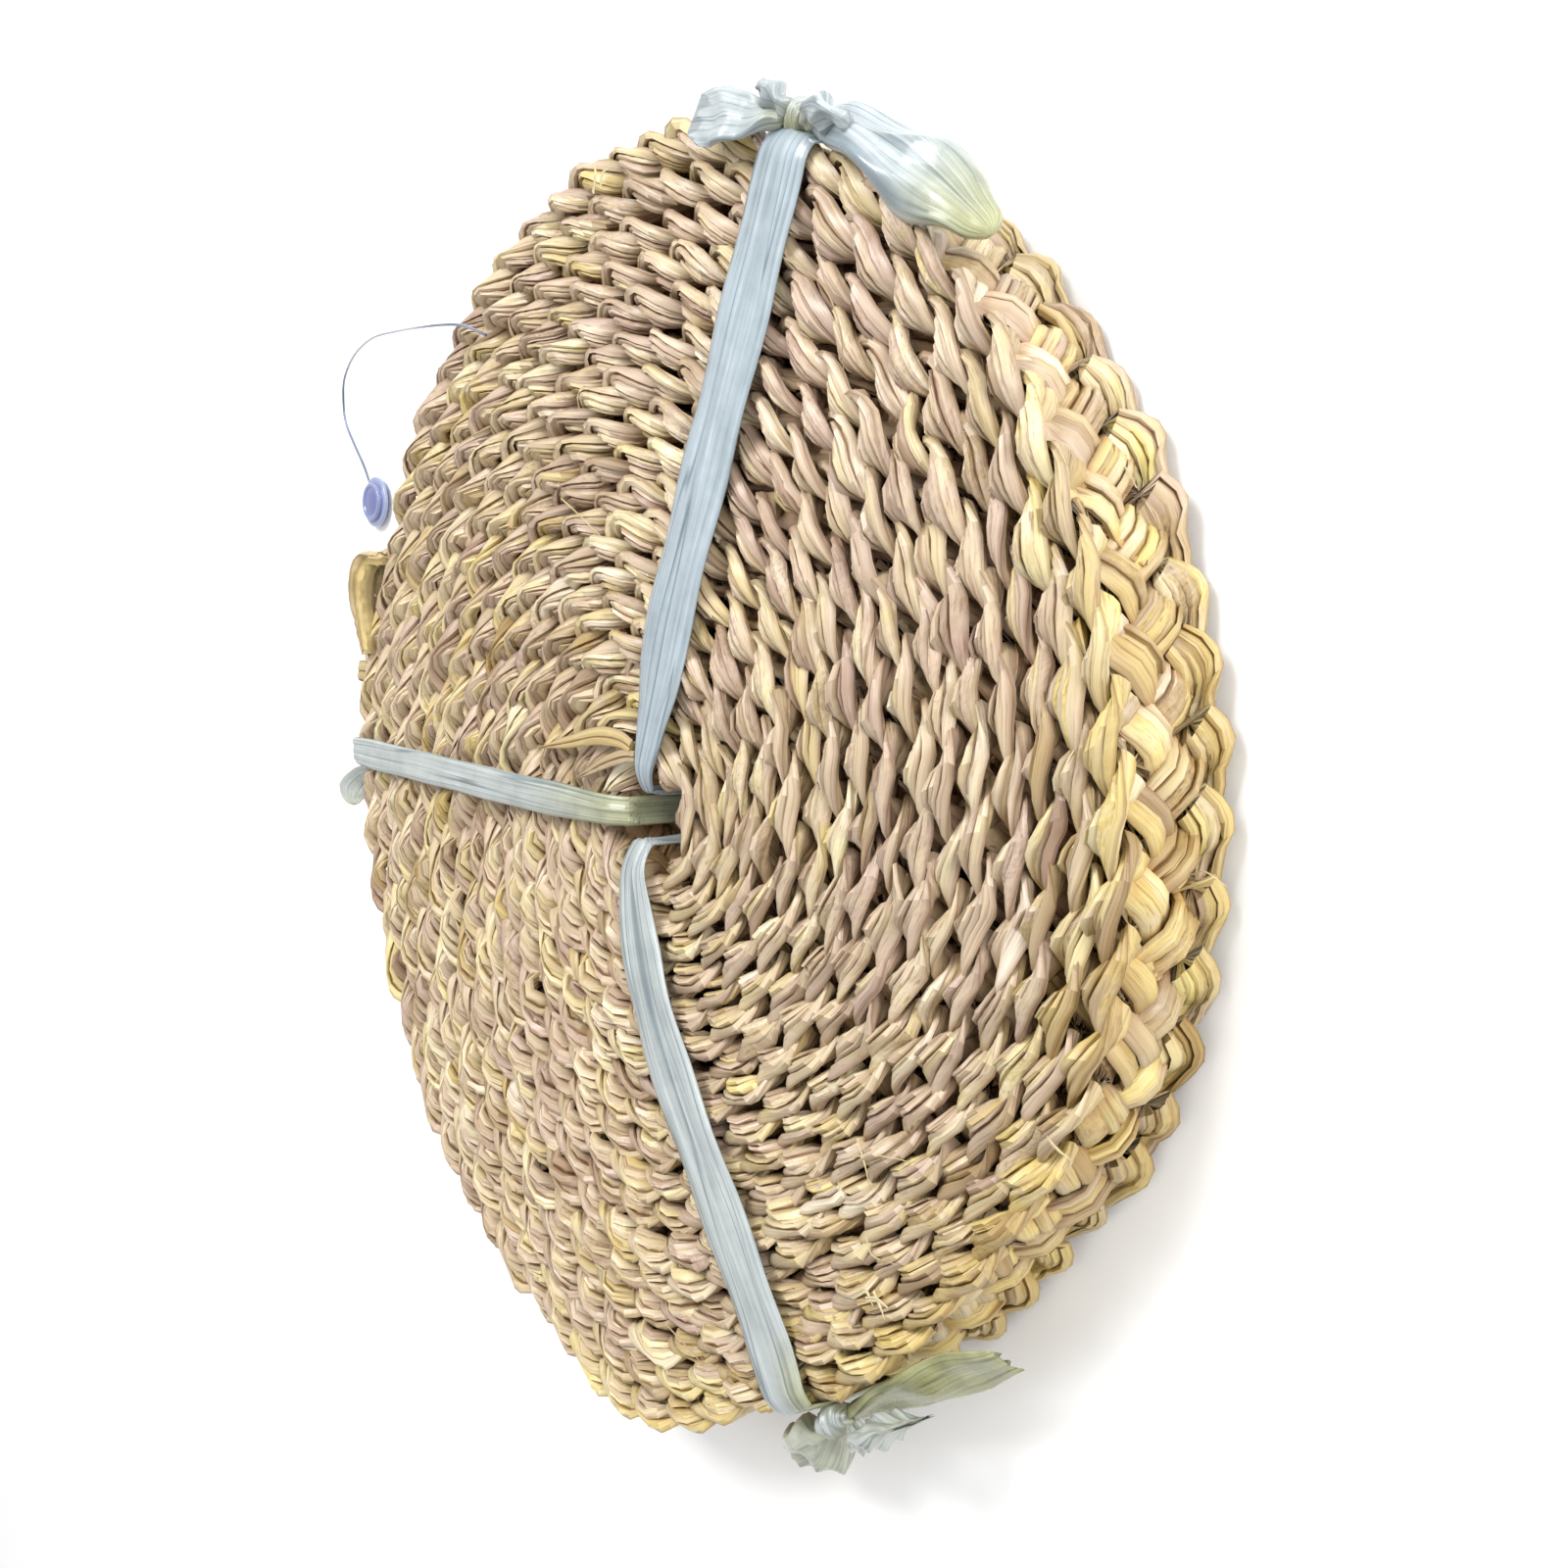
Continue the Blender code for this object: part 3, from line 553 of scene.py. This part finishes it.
end_radius = hole_radius + turn_pitch * (turns + 0.55)
end_facing = (math.cos(math.radians(152.0)), math.sin(math.radians(152.0)), 0.15)
end_widths = (0.0066, 0.0078, 0.0084, 0.0086, 0.0084, 0.0072)
for leaf in range(14):            # seven in each of two layers
    layer, row = divmod(leaf, 7)
    start_up = -0.0165 + 0.0055 * row
    out = 0.0055 * layer
    swap = 0.0030 * (-1) ** row
    uneven = 0.3 * (row % 3)
    places = [coil_place(end_radius + reach + out * open_by, degrees,
                         mid_height + start_up * squeeze + swap * share)
              for reach, open_by, degrees, squeeze, share in (
                  (0.0000, 0.0, 159.5, 1.00, 0.0), (0.0012, 0.5, 157.0, 0.98, 0.3),
                  (0.0034, 1.0, 154.4, 0.96, 0.7), (0.0050, 1.0, 151.8, 0.94, 1.0),
                  (0.0050, 0.9, 149.6 - uneven, 0.90, 0.6), (-0.0030, 0.7, 148.4 - uneven, 0.86, 0.2))]
    leaf_strip(f"plait_end_leaf_{leaf + 1:02d}", places, end_widths, end_facing,
                                 0.34 + 0.08 * (leaf % 4), 0.7 + 0.15 * (leaf % 3), 0.0019)
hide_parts("plait_outer_end")

for name, route, wide, tone, hue in (
        ("start_leaf_long", ((0.0185, 86.0), (0.0215, 101.0), (0.0270, 122.0), (0.0365, 142.0),
                             (0.0500, 154.0)), 0.0056, 0.30, 0.9),
        ("start_leaf_short", ((0.0160, 80.0), (0.0165, 100.0), (0.0190, 126.0), (0.0250, 148.0),
                              (0.0300, 157.0)), 0.0042, 0.16, 0.8)):
    places = []
    for step, (radius, degrees) in enumerate(route):
        face = mid_height + float(half_width(radius + 0.004))
        places.append(coil_place(radius, degrees, face + 0.0004 + 0.0006 * (step > 1)))
    leaf = leaf_strip(name + "_folded", places, (wide * 0.8, wide, wide * 0.85, wide * 0.6, 0.0004),
                      (0.0, 0.0, 1.0), tone, hue)
    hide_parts(name)

sprung_azimuth = math.radians(162.0)
x, y = plan(hole_radius + turn_pitch * (turns + 0.98), sprung_azimuth)
outward_way = np.array((x - coil_centre.x, y - coil_centre.y, 0.0))
outward_way /= np.linalg.norm(outward_way)
beside_way = np.array((-outward_way[1], outward_way[0], 0.0))
curl = [np.array((x, y, mid_height + up)) + outward_way * out + beside_way * beside
        for out, up, beside in ((-0.0020, 0.0095, 0.0000), (0.0040, 0.0128, 0.0004), (0.0090, 0.0138, 0.0012),
                                (0.0128, 0.0118, 0.0030), (0.0132, 0.0075, 0.0050), (0.0105, 0.0040, 0.0064))]
leaf = leaf_strip("loose_leaf_curl", curl, (0.0070, 0.0078, 0.0072, 0.0060, 0.0052, 0.0026), (0.0, 0.0, 1.0),
                  0.30, 0.6, 0.0005, spans=beside_way)
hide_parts("loose_leaf_end")

fibres = (                        # from the coil's centre, standing a little off the face
    (((0.0935, -0.0805), (0.0965, -0.0860), (0.0970, -0.0920)), 0.9, 0.0005),
    (((0.0915, -0.0845), (0.1040, -0.0830), (0.1145, -0.0835)), 0.95, 0.0004),
    (((0.1570, -0.0725), (0.1605, -0.0745), (0.1635, -0.0765)), 0.8, 0.0009),
    (((0.0940, -0.1025), (0.0970, -0.1075), (0.1050, -0.1085)), 0.7, 0.0005),
    (((0.0035, -0.1430), (0.0125, -0.1460), (0.0195, -0.1500)), 0.3, 0.0005),
    (((0.0890, 0.1330), (0.1030, 0.1230), (0.1085, 0.1120), (0.1080, 0.1015)), 0.2, 0.0005),
    (((-0.0225, 0.0935), (-0.0135, 0.0880), (-0.0025, 0.0795)), 0.9, 0.0005),
    (((0.1665, 0.0705), (0.1700, 0.0680), (0.1715, 0.0640)), 0.85, 0.0006),
    (((0.1790, -0.0190), (0.1835, -0.0185), (0.1880, -0.0215)), 0.9, 0.0004),
    (((0.0900, -0.1180), (0.0935, -0.1165), (0.0950, -0.1200)), 0.95, 0.0014),
    (((0.0925, -0.1190), (0.0975, -0.1180), (0.1005, -0.1195)), 0.85, 0.0016),
    (((0.0955, -0.1165), (0.0985, -0.1195), (0.0990, -0.1225)), 1.0, 0.0010),
    (((0.0060, 0.1740), (0.0090, 0.1785), (0.0075, 0.1820)), 0.85, 0.0014),
    (((0.0100, 0.1740), (0.0125, 0.1775), (0.0160, 0.1780)), 0.95, 0.0012),
)
for number, (route, tone, wide) in enumerate(fibres):
    off_face = [0.0006 + 0.0014 * math.sin(math.pi * (step + 0.5) / len(route)) for step in range(len(route))]
    beyond = 0.0260 if route[-1][0] > 0.170 else 0.0      # down on the rim's side
    places = [(coil_centre.x + px, coil_centre.y + py, face_height - 0.0006 + off - beyond)
              for (px, py), off in zip(route, off_face)]
    leaf_strip(f"split_fibre_{number + 1:02d}", places, (wide, wide * 0.9, wide * 0.25), (0.0, 0.0, 1.0),
               tone, 0.3, 0.00018, 14)


# ---------------------------------------------------------------- the ties' bands
# Strips torn from thin packing film, each led from the knot at the rim over the face,
# down the centre hole and back under the pad. Pulled tight, the film lies flat with
# long creases, and it gathers where it goes into the hole.
film_stuff, shader, nodes = new_material("packing_film")
along_film, across_film, olive_film, warm_film = (
    nodes.node("ShaderNodeAttribute", {"attribute_name": name}, None, 2)
    for name in ("along", "across", "olive", "warm"))
place = nodes.node("ShaderNodeTexCoord", None, None, 3)
stretch_place = nodes.node("ShaderNodeCombineXYZ", None, {0: along_film * 14.0, 1: across_film * 6.0})
stretch = nodes.node("ShaderNodeTexNoise", None, {"Vector": stretch_place, "Scale": 1.0, "Detail": 4.0,
                                                 "Roughness": 0.6})
dent = nodes.node("ShaderNodeTexNoise", None, {"Vector": place, "Scale": 130.0, "Detail": 3.0})
film = nodes.node("ShaderNodeValToRGB", {"stops": (
    (0.28, (0.17, 0.20, 0.20)), (0.44, (0.31, 0.35, 0.345)), (0.60, (0.42, 0.46, 0.45)),
    (0.78, (0.68, 0.71, 0.68)))}, {0: stretch * 0.75 + dent * 0.25})
tint = nodes.node("ShaderNodeValToRGB", {"stops": (
    (0.0, (0.80, 0.87, 1.0)), (0.5, (0.97, 0.96, 1.0)), (1.0, (1.0, 0.95, 0.80)))}, {0: warm_film})
# Painted shade: a dark olive tint, mixed in by the olive attribute where the film bunches in knots, opens at
# the loops' ends, goes into the hole and turns round the rim.
olive = nodes.node("ShaderNodeValToRGB", {"stops": (
    (0.30, (0.13, 0.13, 0.05)), (0.52, (0.29, 0.29, 0.13)), (0.75, (0.50, 0.50, 0.29)))},
    {0: stretch * 0.6 + dent * 0.4})
# Painted shade: thin dark lines running along the film, for the shade in fine creases.
crease_place = nodes.node("ShaderNodeCombineXYZ", None,
                          {0: along_film * 5.0 + warm_film * 7.0, 1: across_film * 1.3})
crease = nodes.node("ShaderNodeTexNoise", None, {"Vector": crease_place, "Scale": 1.0, "Detail": 1.0})
ridge = nodes.node("ShaderNodeMath", {"operation": "ABSOLUTE"}, {0: crease - 0.5})
crease_shade_line = nodes.node("ShaderNodeValToRGB", {"stops": (
    (0.004, (0.42, 0.48, 0.52)), (0.022, (1.0, 1.0, 1.0)))}, {0: ridge})
film.mixed(tint, 1.0, "MULTIPLY").mixed(olive, olive_film).mixed(crease_shade_line, 0.85, "MULTIPLY").feeds(
    shader, "Base Color")
(dent * 0.25 + 0.16).feeds(shader, "Roughness")
nodes.node("ShaderNodeBump", None, {"Strength": 0.6, "Distance": 0.0006,
                                   "Height": stretch * 0.8 + dent * 0.4}).feeds(shader, "Normal")
shader.inputs["Coat Weight"].default_value = 0.3
shader.inputs["Coat Roughness"].default_value = 0.12

film_off_hole, film_off_rim = 0.0080, 0.0016     # from the coil's centre, and from the rim
film_off_face = 0.0013
film_outer, film_inner = 0.0003, -0.0001         # its two faces, either side of its line
over_steps, down_steps, up_steps = 48, 10, 8


def rim_radius(azimuth):
    """Outer face of the outermost turn, before the off-round stretch."""
    inward = ((azimuth - end_azimuth) % TAU) / TAU
    return hole_radius + turn_pitch * (turns + 1 - inward) - 0.0003


def rim_place(azimuth, outward_by, up_by):
    """A place outside the rim: at an azimuth, this far out from it and this far up."""
    x, y = plan(rim_radius(azimuth), azimuth)
    way = (Vector((x, y, 0.0)) - coil_centre).normalized()
    return Vector((x, y, mid_height + up_by)) + way * outward_by


def band_route(hole_azimuth, rim_azimuth):
    """Stations of a tie once round: each a place, and how flat the film lies there."""
    hole_way = Vector((math.cos(hole_azimuth), math.sin(hole_azimuth), 0.0))
    hole = coil_centre + hole_way * film_off_hole
    x, y = plan(rim_radius(rim_azimuth), rim_azimuth)
    rim_way = (Vector((x, y, 0.0)) - coil_centre).normalized()
    rim = Vector((x, y, 0.0)) + rim_way * film_off_rim
    over = []
    for step in range(over_steps + 1):
        t = step / over_steps
        t = t * t * (3.0 - 2.0 * t)
        spot = hole * (1 - t) ** 3 + (hole + hole_way * 0.045) * 3 * t * (1 - t) ** 2 \
            + (rim - rim_way * 0.050) * 3 * t * t * (1 - t) + rim * t ** 3
        distance = (spot - coil_centre).length
        high = float(half_width(distance * 1.05)) + film_off_face
        high -= 0.0040 * max(0.0, 1.0 - (distance - film_off_hole) / 0.010) ** 2
        high -= 0.0025 * max(0.0, 1.0 - (rim - spot).length / 0.006) ** 2
        over.append((spot, high, min(1.0, max(0.0, (distance - film_off_hole) / 0.034))))
    stations = []
    for spot, high, flat in over:
        stations.append((Vector((spot.x, spot.y, mid_height + high)), flat))
    for step in range(1, down_steps):
        up = over[-1][1] * (1.0 - 2.0 * step / down_steps)
        stations.append((Vector((rim.x, rim.y, mid_height + up)) + rim_way * 0.0004, 1.0))
    for spot, high, flat in reversed(over):
        low = min(high - 0.0009, float(half_width(0.2)) + 0.0004)
        stations.append((Vector((spot.x, spot.y, mid_height - low)), flat))
    for step in range(1, up_steps):
        up = over[0][1] * (2.0 * step / up_steps - 1.0)
        stations.append((Vector((hole.x, hole.y, mid_height + up)), 0.0))
    return stations


def film_piece(piece):
    """Smooth a piece of film and let it ride with the pad."""
    piece.data.shade_smooth()
    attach(piece, "pad")
    return piece


def film_band(name, hole_azimuth, rim_azimuth, wide, hole_wide, folds, seed, olive_part, olive_rim, warm):
    """One tie's band: a closed loop of thin film with lengthways folds."""
    rng = np.random.default_rng(seed)
    stations = band_route(hole_azimuth, rim_azimuth)
    count = len(stations)
    half = 14                     # points across the film's outer face, and across its inner
    share = np.linspace(-1.0, 1.0, half)
    rings, along_rows, across_rows, olive_rows = [], [], [], []
    phase = rng.uniform(0.0, TAU, (folds, 4))
    travelled = 0.0
    side = Vector((-math.sin(hole_azimuth), math.cos(hole_azimuth), 0.0))
    rim_side = Vector((-math.sin(rim_azimuth), math.cos(rim_azimuth), 0.0))
    rim_spot = stations[over_steps + down_steps // 2][0] * 1.0
    rim_spot.z = 0.0
    for index, (spot, flat) in enumerate(stations):
        before = stations[index - 1][0]
        after = stations[(index + 1) % count][0]
        way = (after - before).normalized()
        level = Vector((way.x, way.y, 0.0))
        if level.length > 0.35:
            turned = Vector((-level.y, level.x, 0.0)).normalized()
            if turned.dot(rim_side) < 0.0:
                turned.negate()
            side = turned
        facing = way.cross(side).normalized()
        travelled += (spot - before).length if index else 0.0
        width = hole_wide + (wide - hole_wide) * flat
        to_rim = max(0.0, 1.0 - (Vector((spot.x, spot.y, 0.0)) - rim_spot).length / 0.022)
        width *= 1.0 - 0.22 * to_rim ** 2
        row_out, row_in = [], []
        swell = np.zeros(half)
        for fold in range(folds):
            drift = phase[fold, 0] + 5.0 * travelled * math.cos(phase[fold, 1]) * 6.0
            centre_at = (fold + 0.5) / folds * 2.0 - 1.0 + 0.12 * math.sin(drift)
            sharp = np.clip(1.0 - np.abs(share - centre_at) * folds * 0.9, 0.0, 1.0)
            lively = 0.55 + 0.45 * math.sin(phase[fold, 2] + travelled * 55.0 * (1 + 0.3 * fold))
            swell += sharp * lively
        amount = 0.00055 * flat + 0.00160 * (1.0 - flat)
        rock = 0.0004 * math.sin(travelled * 150.0 + phase[0, 3])
        edge_curl = -0.0005 * np.abs(share) ** 5
        for x, lift_by, curl in zip(share, swell, edge_curl):
            base_spot = spot + side * (x * width / 2)
            rise_by = lift_by * amount + curl + rock * x
            row_out.append(base_spot + facing * (rise_by + film_outer))
            row_in.append(base_spot + facing * (rise_by + film_inner))
        rings.append(row_out + row_in[::-1])
        along_rows.append([travelled] * half * 2)
        across_rows.append(list(share) + list(share[::-1]))
        # Painted olive shade near where the band goes into the hole, and towards one edge of the band where
        # it turns round the rim.
        near = max(0.0, 1.0 - (spot - stations[0][0]).length / 0.05)
        edge_share = np.clip(share * 1.4 + 0.3, 0.0, 1.0) * olive_rim * to_rim
        olive_row = list(olive_part * near + edge_share)
        olive_rows.append(olive_row + olive_row[::-1])
    return film_piece(skin(
        name, np.array(rings),
        {"along": np.array(along_rows), "across": np.array(across_rows), "olive": np.array(olive_rows),
         "warm": np.full((count, half * 2), warm)}, film_stuff, looped=True))


bow_band = film_band("bow_tie_strip", math.radians(62.0), math.radians(59.9), 0.0205, 0.0040, 3, 11, 0.0,
                     0.0, 0.12)
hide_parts("bow_tie_band")
knotted_band = film_band("knotted_tie_strip", math.radians(262.0), math.radians(290.6), 0.0195, 0.0095,
                         6, 23, 0.0, 0.8, 0.55)
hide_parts("knotted_tie_band")
side_band = film_band("side_tie_strip", math.radians(171.0), math.radians(170.7), 0.0105, 0.0085,
                      3, 31, 0.8, 0.0, 0.62)
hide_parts("side_tie_band")


# ---------------------------------------------------------------- the bow
# The wide tie is knotted over the rim and tied in a bow: a long puffed loop of doubled
# film, a short pleated loop, a stub of a loop, and two flat torn tails.
def film_lump(name, route, sections, pleats, depth, seed, olive_ends, warm, ragged=0.0):
    """A loop or tail of bunched film along (degrees, outward, up) places round the rim.

    Sections are (width, thickness, tilt in degrees); pleats run lengthways.
    """
    sides_round, count = 36, 52
    rng = np.random.default_rng(seed)
    places = [rim_place(math.radians(a), o, u) for a, o, u in route]
    line, length = smooth_line(places, count)
    at = np.linspace(0.0, 1.0, len(sections))
    where = np.linspace(0.0, 1.0, count)
    wide, thick, tilt = (np.interp(where, at, [section[i] for section in sections]) for i in range(3))
    ends = np.minimum(1.0, np.sqrt(np.clip(np.minimum(where, 1.0 - where) / 0.06, 0.0, 1.0)) + 0.12)
    if ragged > 0.0:
        ends = np.minimum(1.0, np.sqrt(np.clip(where / 0.06, 0.0, 1.0)) + 0.12)
    turn = np.arange(sides_round) * TAU / sides_round
    phase = rng.uniform(0.0, TAU, 8)
    rows, across_rows = [], []
    way = np.gradient(line, axis=0)
    for index in range(count):
        ahead = Vector(way[index]).normalized()
        out = Vector((ahead.y, -ahead.x, 0.0)).normalized()
        if out.dot(Vector(line[index]) - coil_centre) < 0.0:
            out.negate()
        over_way = ahead.cross(out).normalized()
        if over_way.z < 0.0:
            over_way.negate()
        lean_by = math.radians(tilt[index])
        across = over_way * math.cos(lean_by) + out * math.sin(lean_by)
        through = out * math.cos(lean_by) - over_way * math.sin(lean_by)
        t = where[index]
        crumple = 0.45 * np.sin(turn * 3 + phase[0] + 7.0 * t) \
            + 0.35 * np.sin(turn * 5 + phase[1] - 11.0 * t) \
            + 0.30 * math.sin(9.0 * t + phase[2]) + 0.25 * np.sin(turn * 2 + 17.0 * t + phase[5])
        pleat = 1.0 - np.abs(np.sin(turn * pleats / 2 + phase[3] + 1.6 * math.sin(5.0 * t + phase[4])))
        swell = 1.0 + depth * (pleat * 1.4 - 0.6) + depth * 0.5 * crumple
        x = np.cos(turn) * wide[index] / 2 * ends[index] * (1.0 + 0.05 * crumple)
        y = np.sign(np.sin(turn)) * np.abs(np.sin(turn)) ** 0.8 * thick[index] / 2 * ends[index] * swell
        y = y + thick[index] * 0.25 * math.sin(13.0 * t + phase[6]) * np.cos(turn * 1.0 + phase[7])
        row = np.array(line[index])[None, :] + x[:, None] * np.array(across) + y[:, None] * np.array(through)
        if ragged > 0.0:
            late = max(0.0, t - 0.7) / 0.3
            tear = ragged * late * (np.sin(np.cos(turn) * 9.0 + phase[0])
                                    + 0.6 * np.sin(np.cos(turn) * 23.0 + phase[1]))
            row = row + tear[:, None] * np.array(ahead)
        rows.append(row)
        across_rows.append(np.cos(turn) + 0.3 * np.sin(turn))
    # Painted olive shade along the piece, from the values in olive_ends.
    olive_row = np.interp(where, np.linspace(0.0, 1.0, len(olive_ends)), olive_ends)
    ones = np.ones((1, sides_round))
    return film_piece(skin(
        name, np.array(rows),
        {"along": (where * length)[:, None] * ones + 0.3 * seed, "across": np.array(across_rows) * 1.6,
         "olive": olive_row[:, None] * ones, "warm": np.full((count, sides_round), warm)}, film_stuff))


def film_knot(name, azimuth, outward_by, up_by, size, seed, olive_part):
    """A knot: film wound and pulled tight, as a pleated lump."""
    rng = np.random.default_rng(seed)
    middle = rim_place(azimuth, outward_by, up_by)
    way = Vector((math.cos(azimuth), math.sin(azimuth), 0.0))
    beside = Vector((-way.y, way.x, 0.0))
    bpy.ops.object.select_all(action="DESELECT")
    bpy.ops.mesh.primitive_uv_sphere_add(segments=48, ring_count=32, radius=0.5, location=(0.0, 0.0, 0.0))
    lump = bpy.context.object
    lump.name = name
    phase = rng.uniform(0.0, TAU, 4)
    mesh = lump.data
    for key in ("along", "across", "olive", "warm"):
        mesh.attributes.new(key, "FLOAT", "POINT")
    for index, corner in enumerate(mesh.vertices):
        x, y, z = corner.co
        turn = math.atan2(z, x)
        pleat = 1.0 - abs(math.sin(y * 11.0 + 1.2 * math.sin(turn + phase[0]) + phase[1]))
        cross_fold = 1.0 - abs(math.sin(1.5 * turn + 3.0 * y + phase[2]))
        swell = 1.0 + 0.20 * (pleat - 0.4) + 0.14 * (cross_fold - 0.4)
        reach = way * x * size[0] + beside * y * size[1] + Vector((0.0, 0.0, z * size[2]))
        corner.co = middle + reach * swell
        # Painted olive shade over the knot, in two broad patches round it.
        for key, value in (("along", turn * 0.01 + 0.2 * seed), ("across", y * 6.0), ("warm", 0.5),
                           ("olive", olive_part * (0.6 + 0.4 * math.sin(turn * 2.0 + phase[3])))):
            mesh.attributes[key].data[index].value = value
    mesh.materials.append(film_stuff)
    return film_piece(lump)


knot = film_knot("bow_tie_pulled_knot", math.radians(60.4), 0.0050, 0.0150, (0.0095, 0.0125, 0.0115), 3, 0.75)
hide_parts("bow_tie_knot")
loop = film_lump(
    "bow_tie_puffed_loop",
    ((59.4, 0.0056, 0.0150), (56.2, 0.0068, 0.0165), (52.8, 0.0078, 0.0168), (46.8, 0.0080, 0.0155),
     (42.0, 0.0086, 0.0140), (38.8, 0.0092, 0.0125)),
    ((0.006, 0.0040, -30), (0.012, 0.0065, -38), (0.016, 0.0090, -42), (0.019, 0.0105, -42),
     (0.019, 0.0100, -42), (0.009, 0.0055, -42)), 5, 0.22, 5, (0.5, 0.0, 0.0, 0.05, 0.55, 1.0), 0.35)
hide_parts("bow_tie_long_loop")
loop = film_lump(
    "bow_tie_pleated_loop",
    ((58.8, 0.0060, 0.0190), (56.8, 0.0082, 0.0215), (54.6, 0.0094, 0.0225), (52.9, 0.0092, 0.0220)),
    ((0.004, 0.004, 20), (0.009, 0.0055, 25), (0.010, 0.0050, 30), (0.005, 0.003, 30)), 6, 0.30, 6,
    (0.8, 0.1, 0.0, 0.1), 0.35)
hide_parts("bow_tie_short_loop")
loop = film_lump(
    "bow_tie_stub",
    ((61.2, 0.0050, 0.0175), (62.2, 0.0068, 0.0195), (63.1, 0.0086, 0.0208), (63.8, 0.0100, 0.0218)),
    ((0.005, 0.004, 30), (0.010, 0.0055, 35), (0.012, 0.0060, 35), (0.007, 0.004, 35)), 5, 0.28, 7,
    (0.5, 0.0, 0.0, 0.0), 0.45)
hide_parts("bow_tie_stub_loop")
tails = film_lump(
    "bow_tie_torn_tails",
    ((61.2, 0.0040, 0.0190), (63.4, 0.0024, 0.0225), (65.6, 0.0018, 0.0238), (67.6, 0.0012, 0.0246),
     (69.4, 0.0008, 0.0250)),
    ((0.004, 0.0035, -40), (0.009, 0.0040, -55), (0.013, 0.0038, -68), (0.016, 0.0030, -72),
     (0.016, 0.0010, -72)), 4, 0.35, 8, (0.7, 0.1, 0.0, 0.0, 0.0), 0.45, ragged=0.0022)
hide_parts("bow_tie_tails")


# ---------------------------------------------------------------- the other two knots
# The second wide tie ends in a plain knot, with a flat cut tail, a frayed tuft and a
# crumpled end of a loop. The narrow tie has a small knot and one cut end.
knot = film_knot("knotted_tie_pulled_knot", math.radians(292.6), 0.0066, 0.0110,
                 (0.0090, 0.0115, 0.0105), 13, 0.7)
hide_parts("knotted_tie_knot")
tail = film_lump(
    "knotted_tie_cut_tail",
    ((293.6, 0.0060, 0.0080), (297.0, 0.0056, 0.0080), (301.4, 0.0062, 0.0080), (306.2, 0.0082, 0.0085),
     (310.6, 0.0112, 0.0090), (314.2, 0.0150, 0.0090)),
    ((0.006, 0.0040, -20), (0.010, 0.0040, -32), (0.013, 0.0034, -40), (0.015, 0.0028, -44),
     (0.015, 0.0022, -44), (0.010, 0.0010, -44)), 3, 0.35, 15, (0.9, 1.0, 1.0, 1.0, 1.0, 0.9), 0.6,
    ragged=0.0014)
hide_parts("knotted_tie_wide_tail")
tuft = film_lump(
    "knotted_tie_frayed_tuft",
    ((294.6, 0.0110, 0.0120), (297.6, 0.0122, 0.0150), (300.6, 0.0128, 0.0165), (303.6, 0.0140, 0.0160)),
    ((0.004, 0.004, 0), (0.011, 0.0060, 0), (0.015, 0.0055, 0), (0.014, 0.0014, 0)), 8, 0.45, 16,
    (0.5, 0.2, 0.1, 0.35), 0.6, ragged=0.0028)
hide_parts("knotted_tie_frayed_tail")
loop = film_lump(
    "knotted_tie_crumpled_end",
    ((291.6, 0.0078, 0.0090), (288.6, 0.0112, 0.0060), (285.8, 0.0138, 0.0040), (282.8, 0.0135, 0.0020),
     (280.4, 0.0110, 0.0010)),
    ((0.006, 0.005, -20), (0.014, 0.0080, -35), (0.018, 0.0095, -40), (0.017, 0.0085, -40),
     (0.008, 0.0040, -40)), 6, 0.40, 17, (0.8, 0.45, 0.4, 0.4, 0.6), 0.6)
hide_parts("knotted_tie_crumpled_loop")
knot = film_knot("side_tie_pulled_knot", math.radians(172.6), 0.0048, 0.0080,
                 (0.0085, 0.0095, 0.0095), 33, 0.3)
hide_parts("side_tie_knot")
tail = film_lump(
    "side_tie_cut_tail",
    ((173.2, 0.0055, 0.0095), (174.4, 0.0082, 0.0135), (175.7, 0.0104, 0.0160), (177.2, 0.0098, 0.0172)),
    ((0.005, 0.0030, 25), (0.011, 0.0022, 30), (0.013, 0.0014, 35), (0.003, 0.0008, 35)), 3, 0.30, 34,
    (0.2, 0.05, 0.1, 0.5), 0.6)
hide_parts("side_tie_tail")
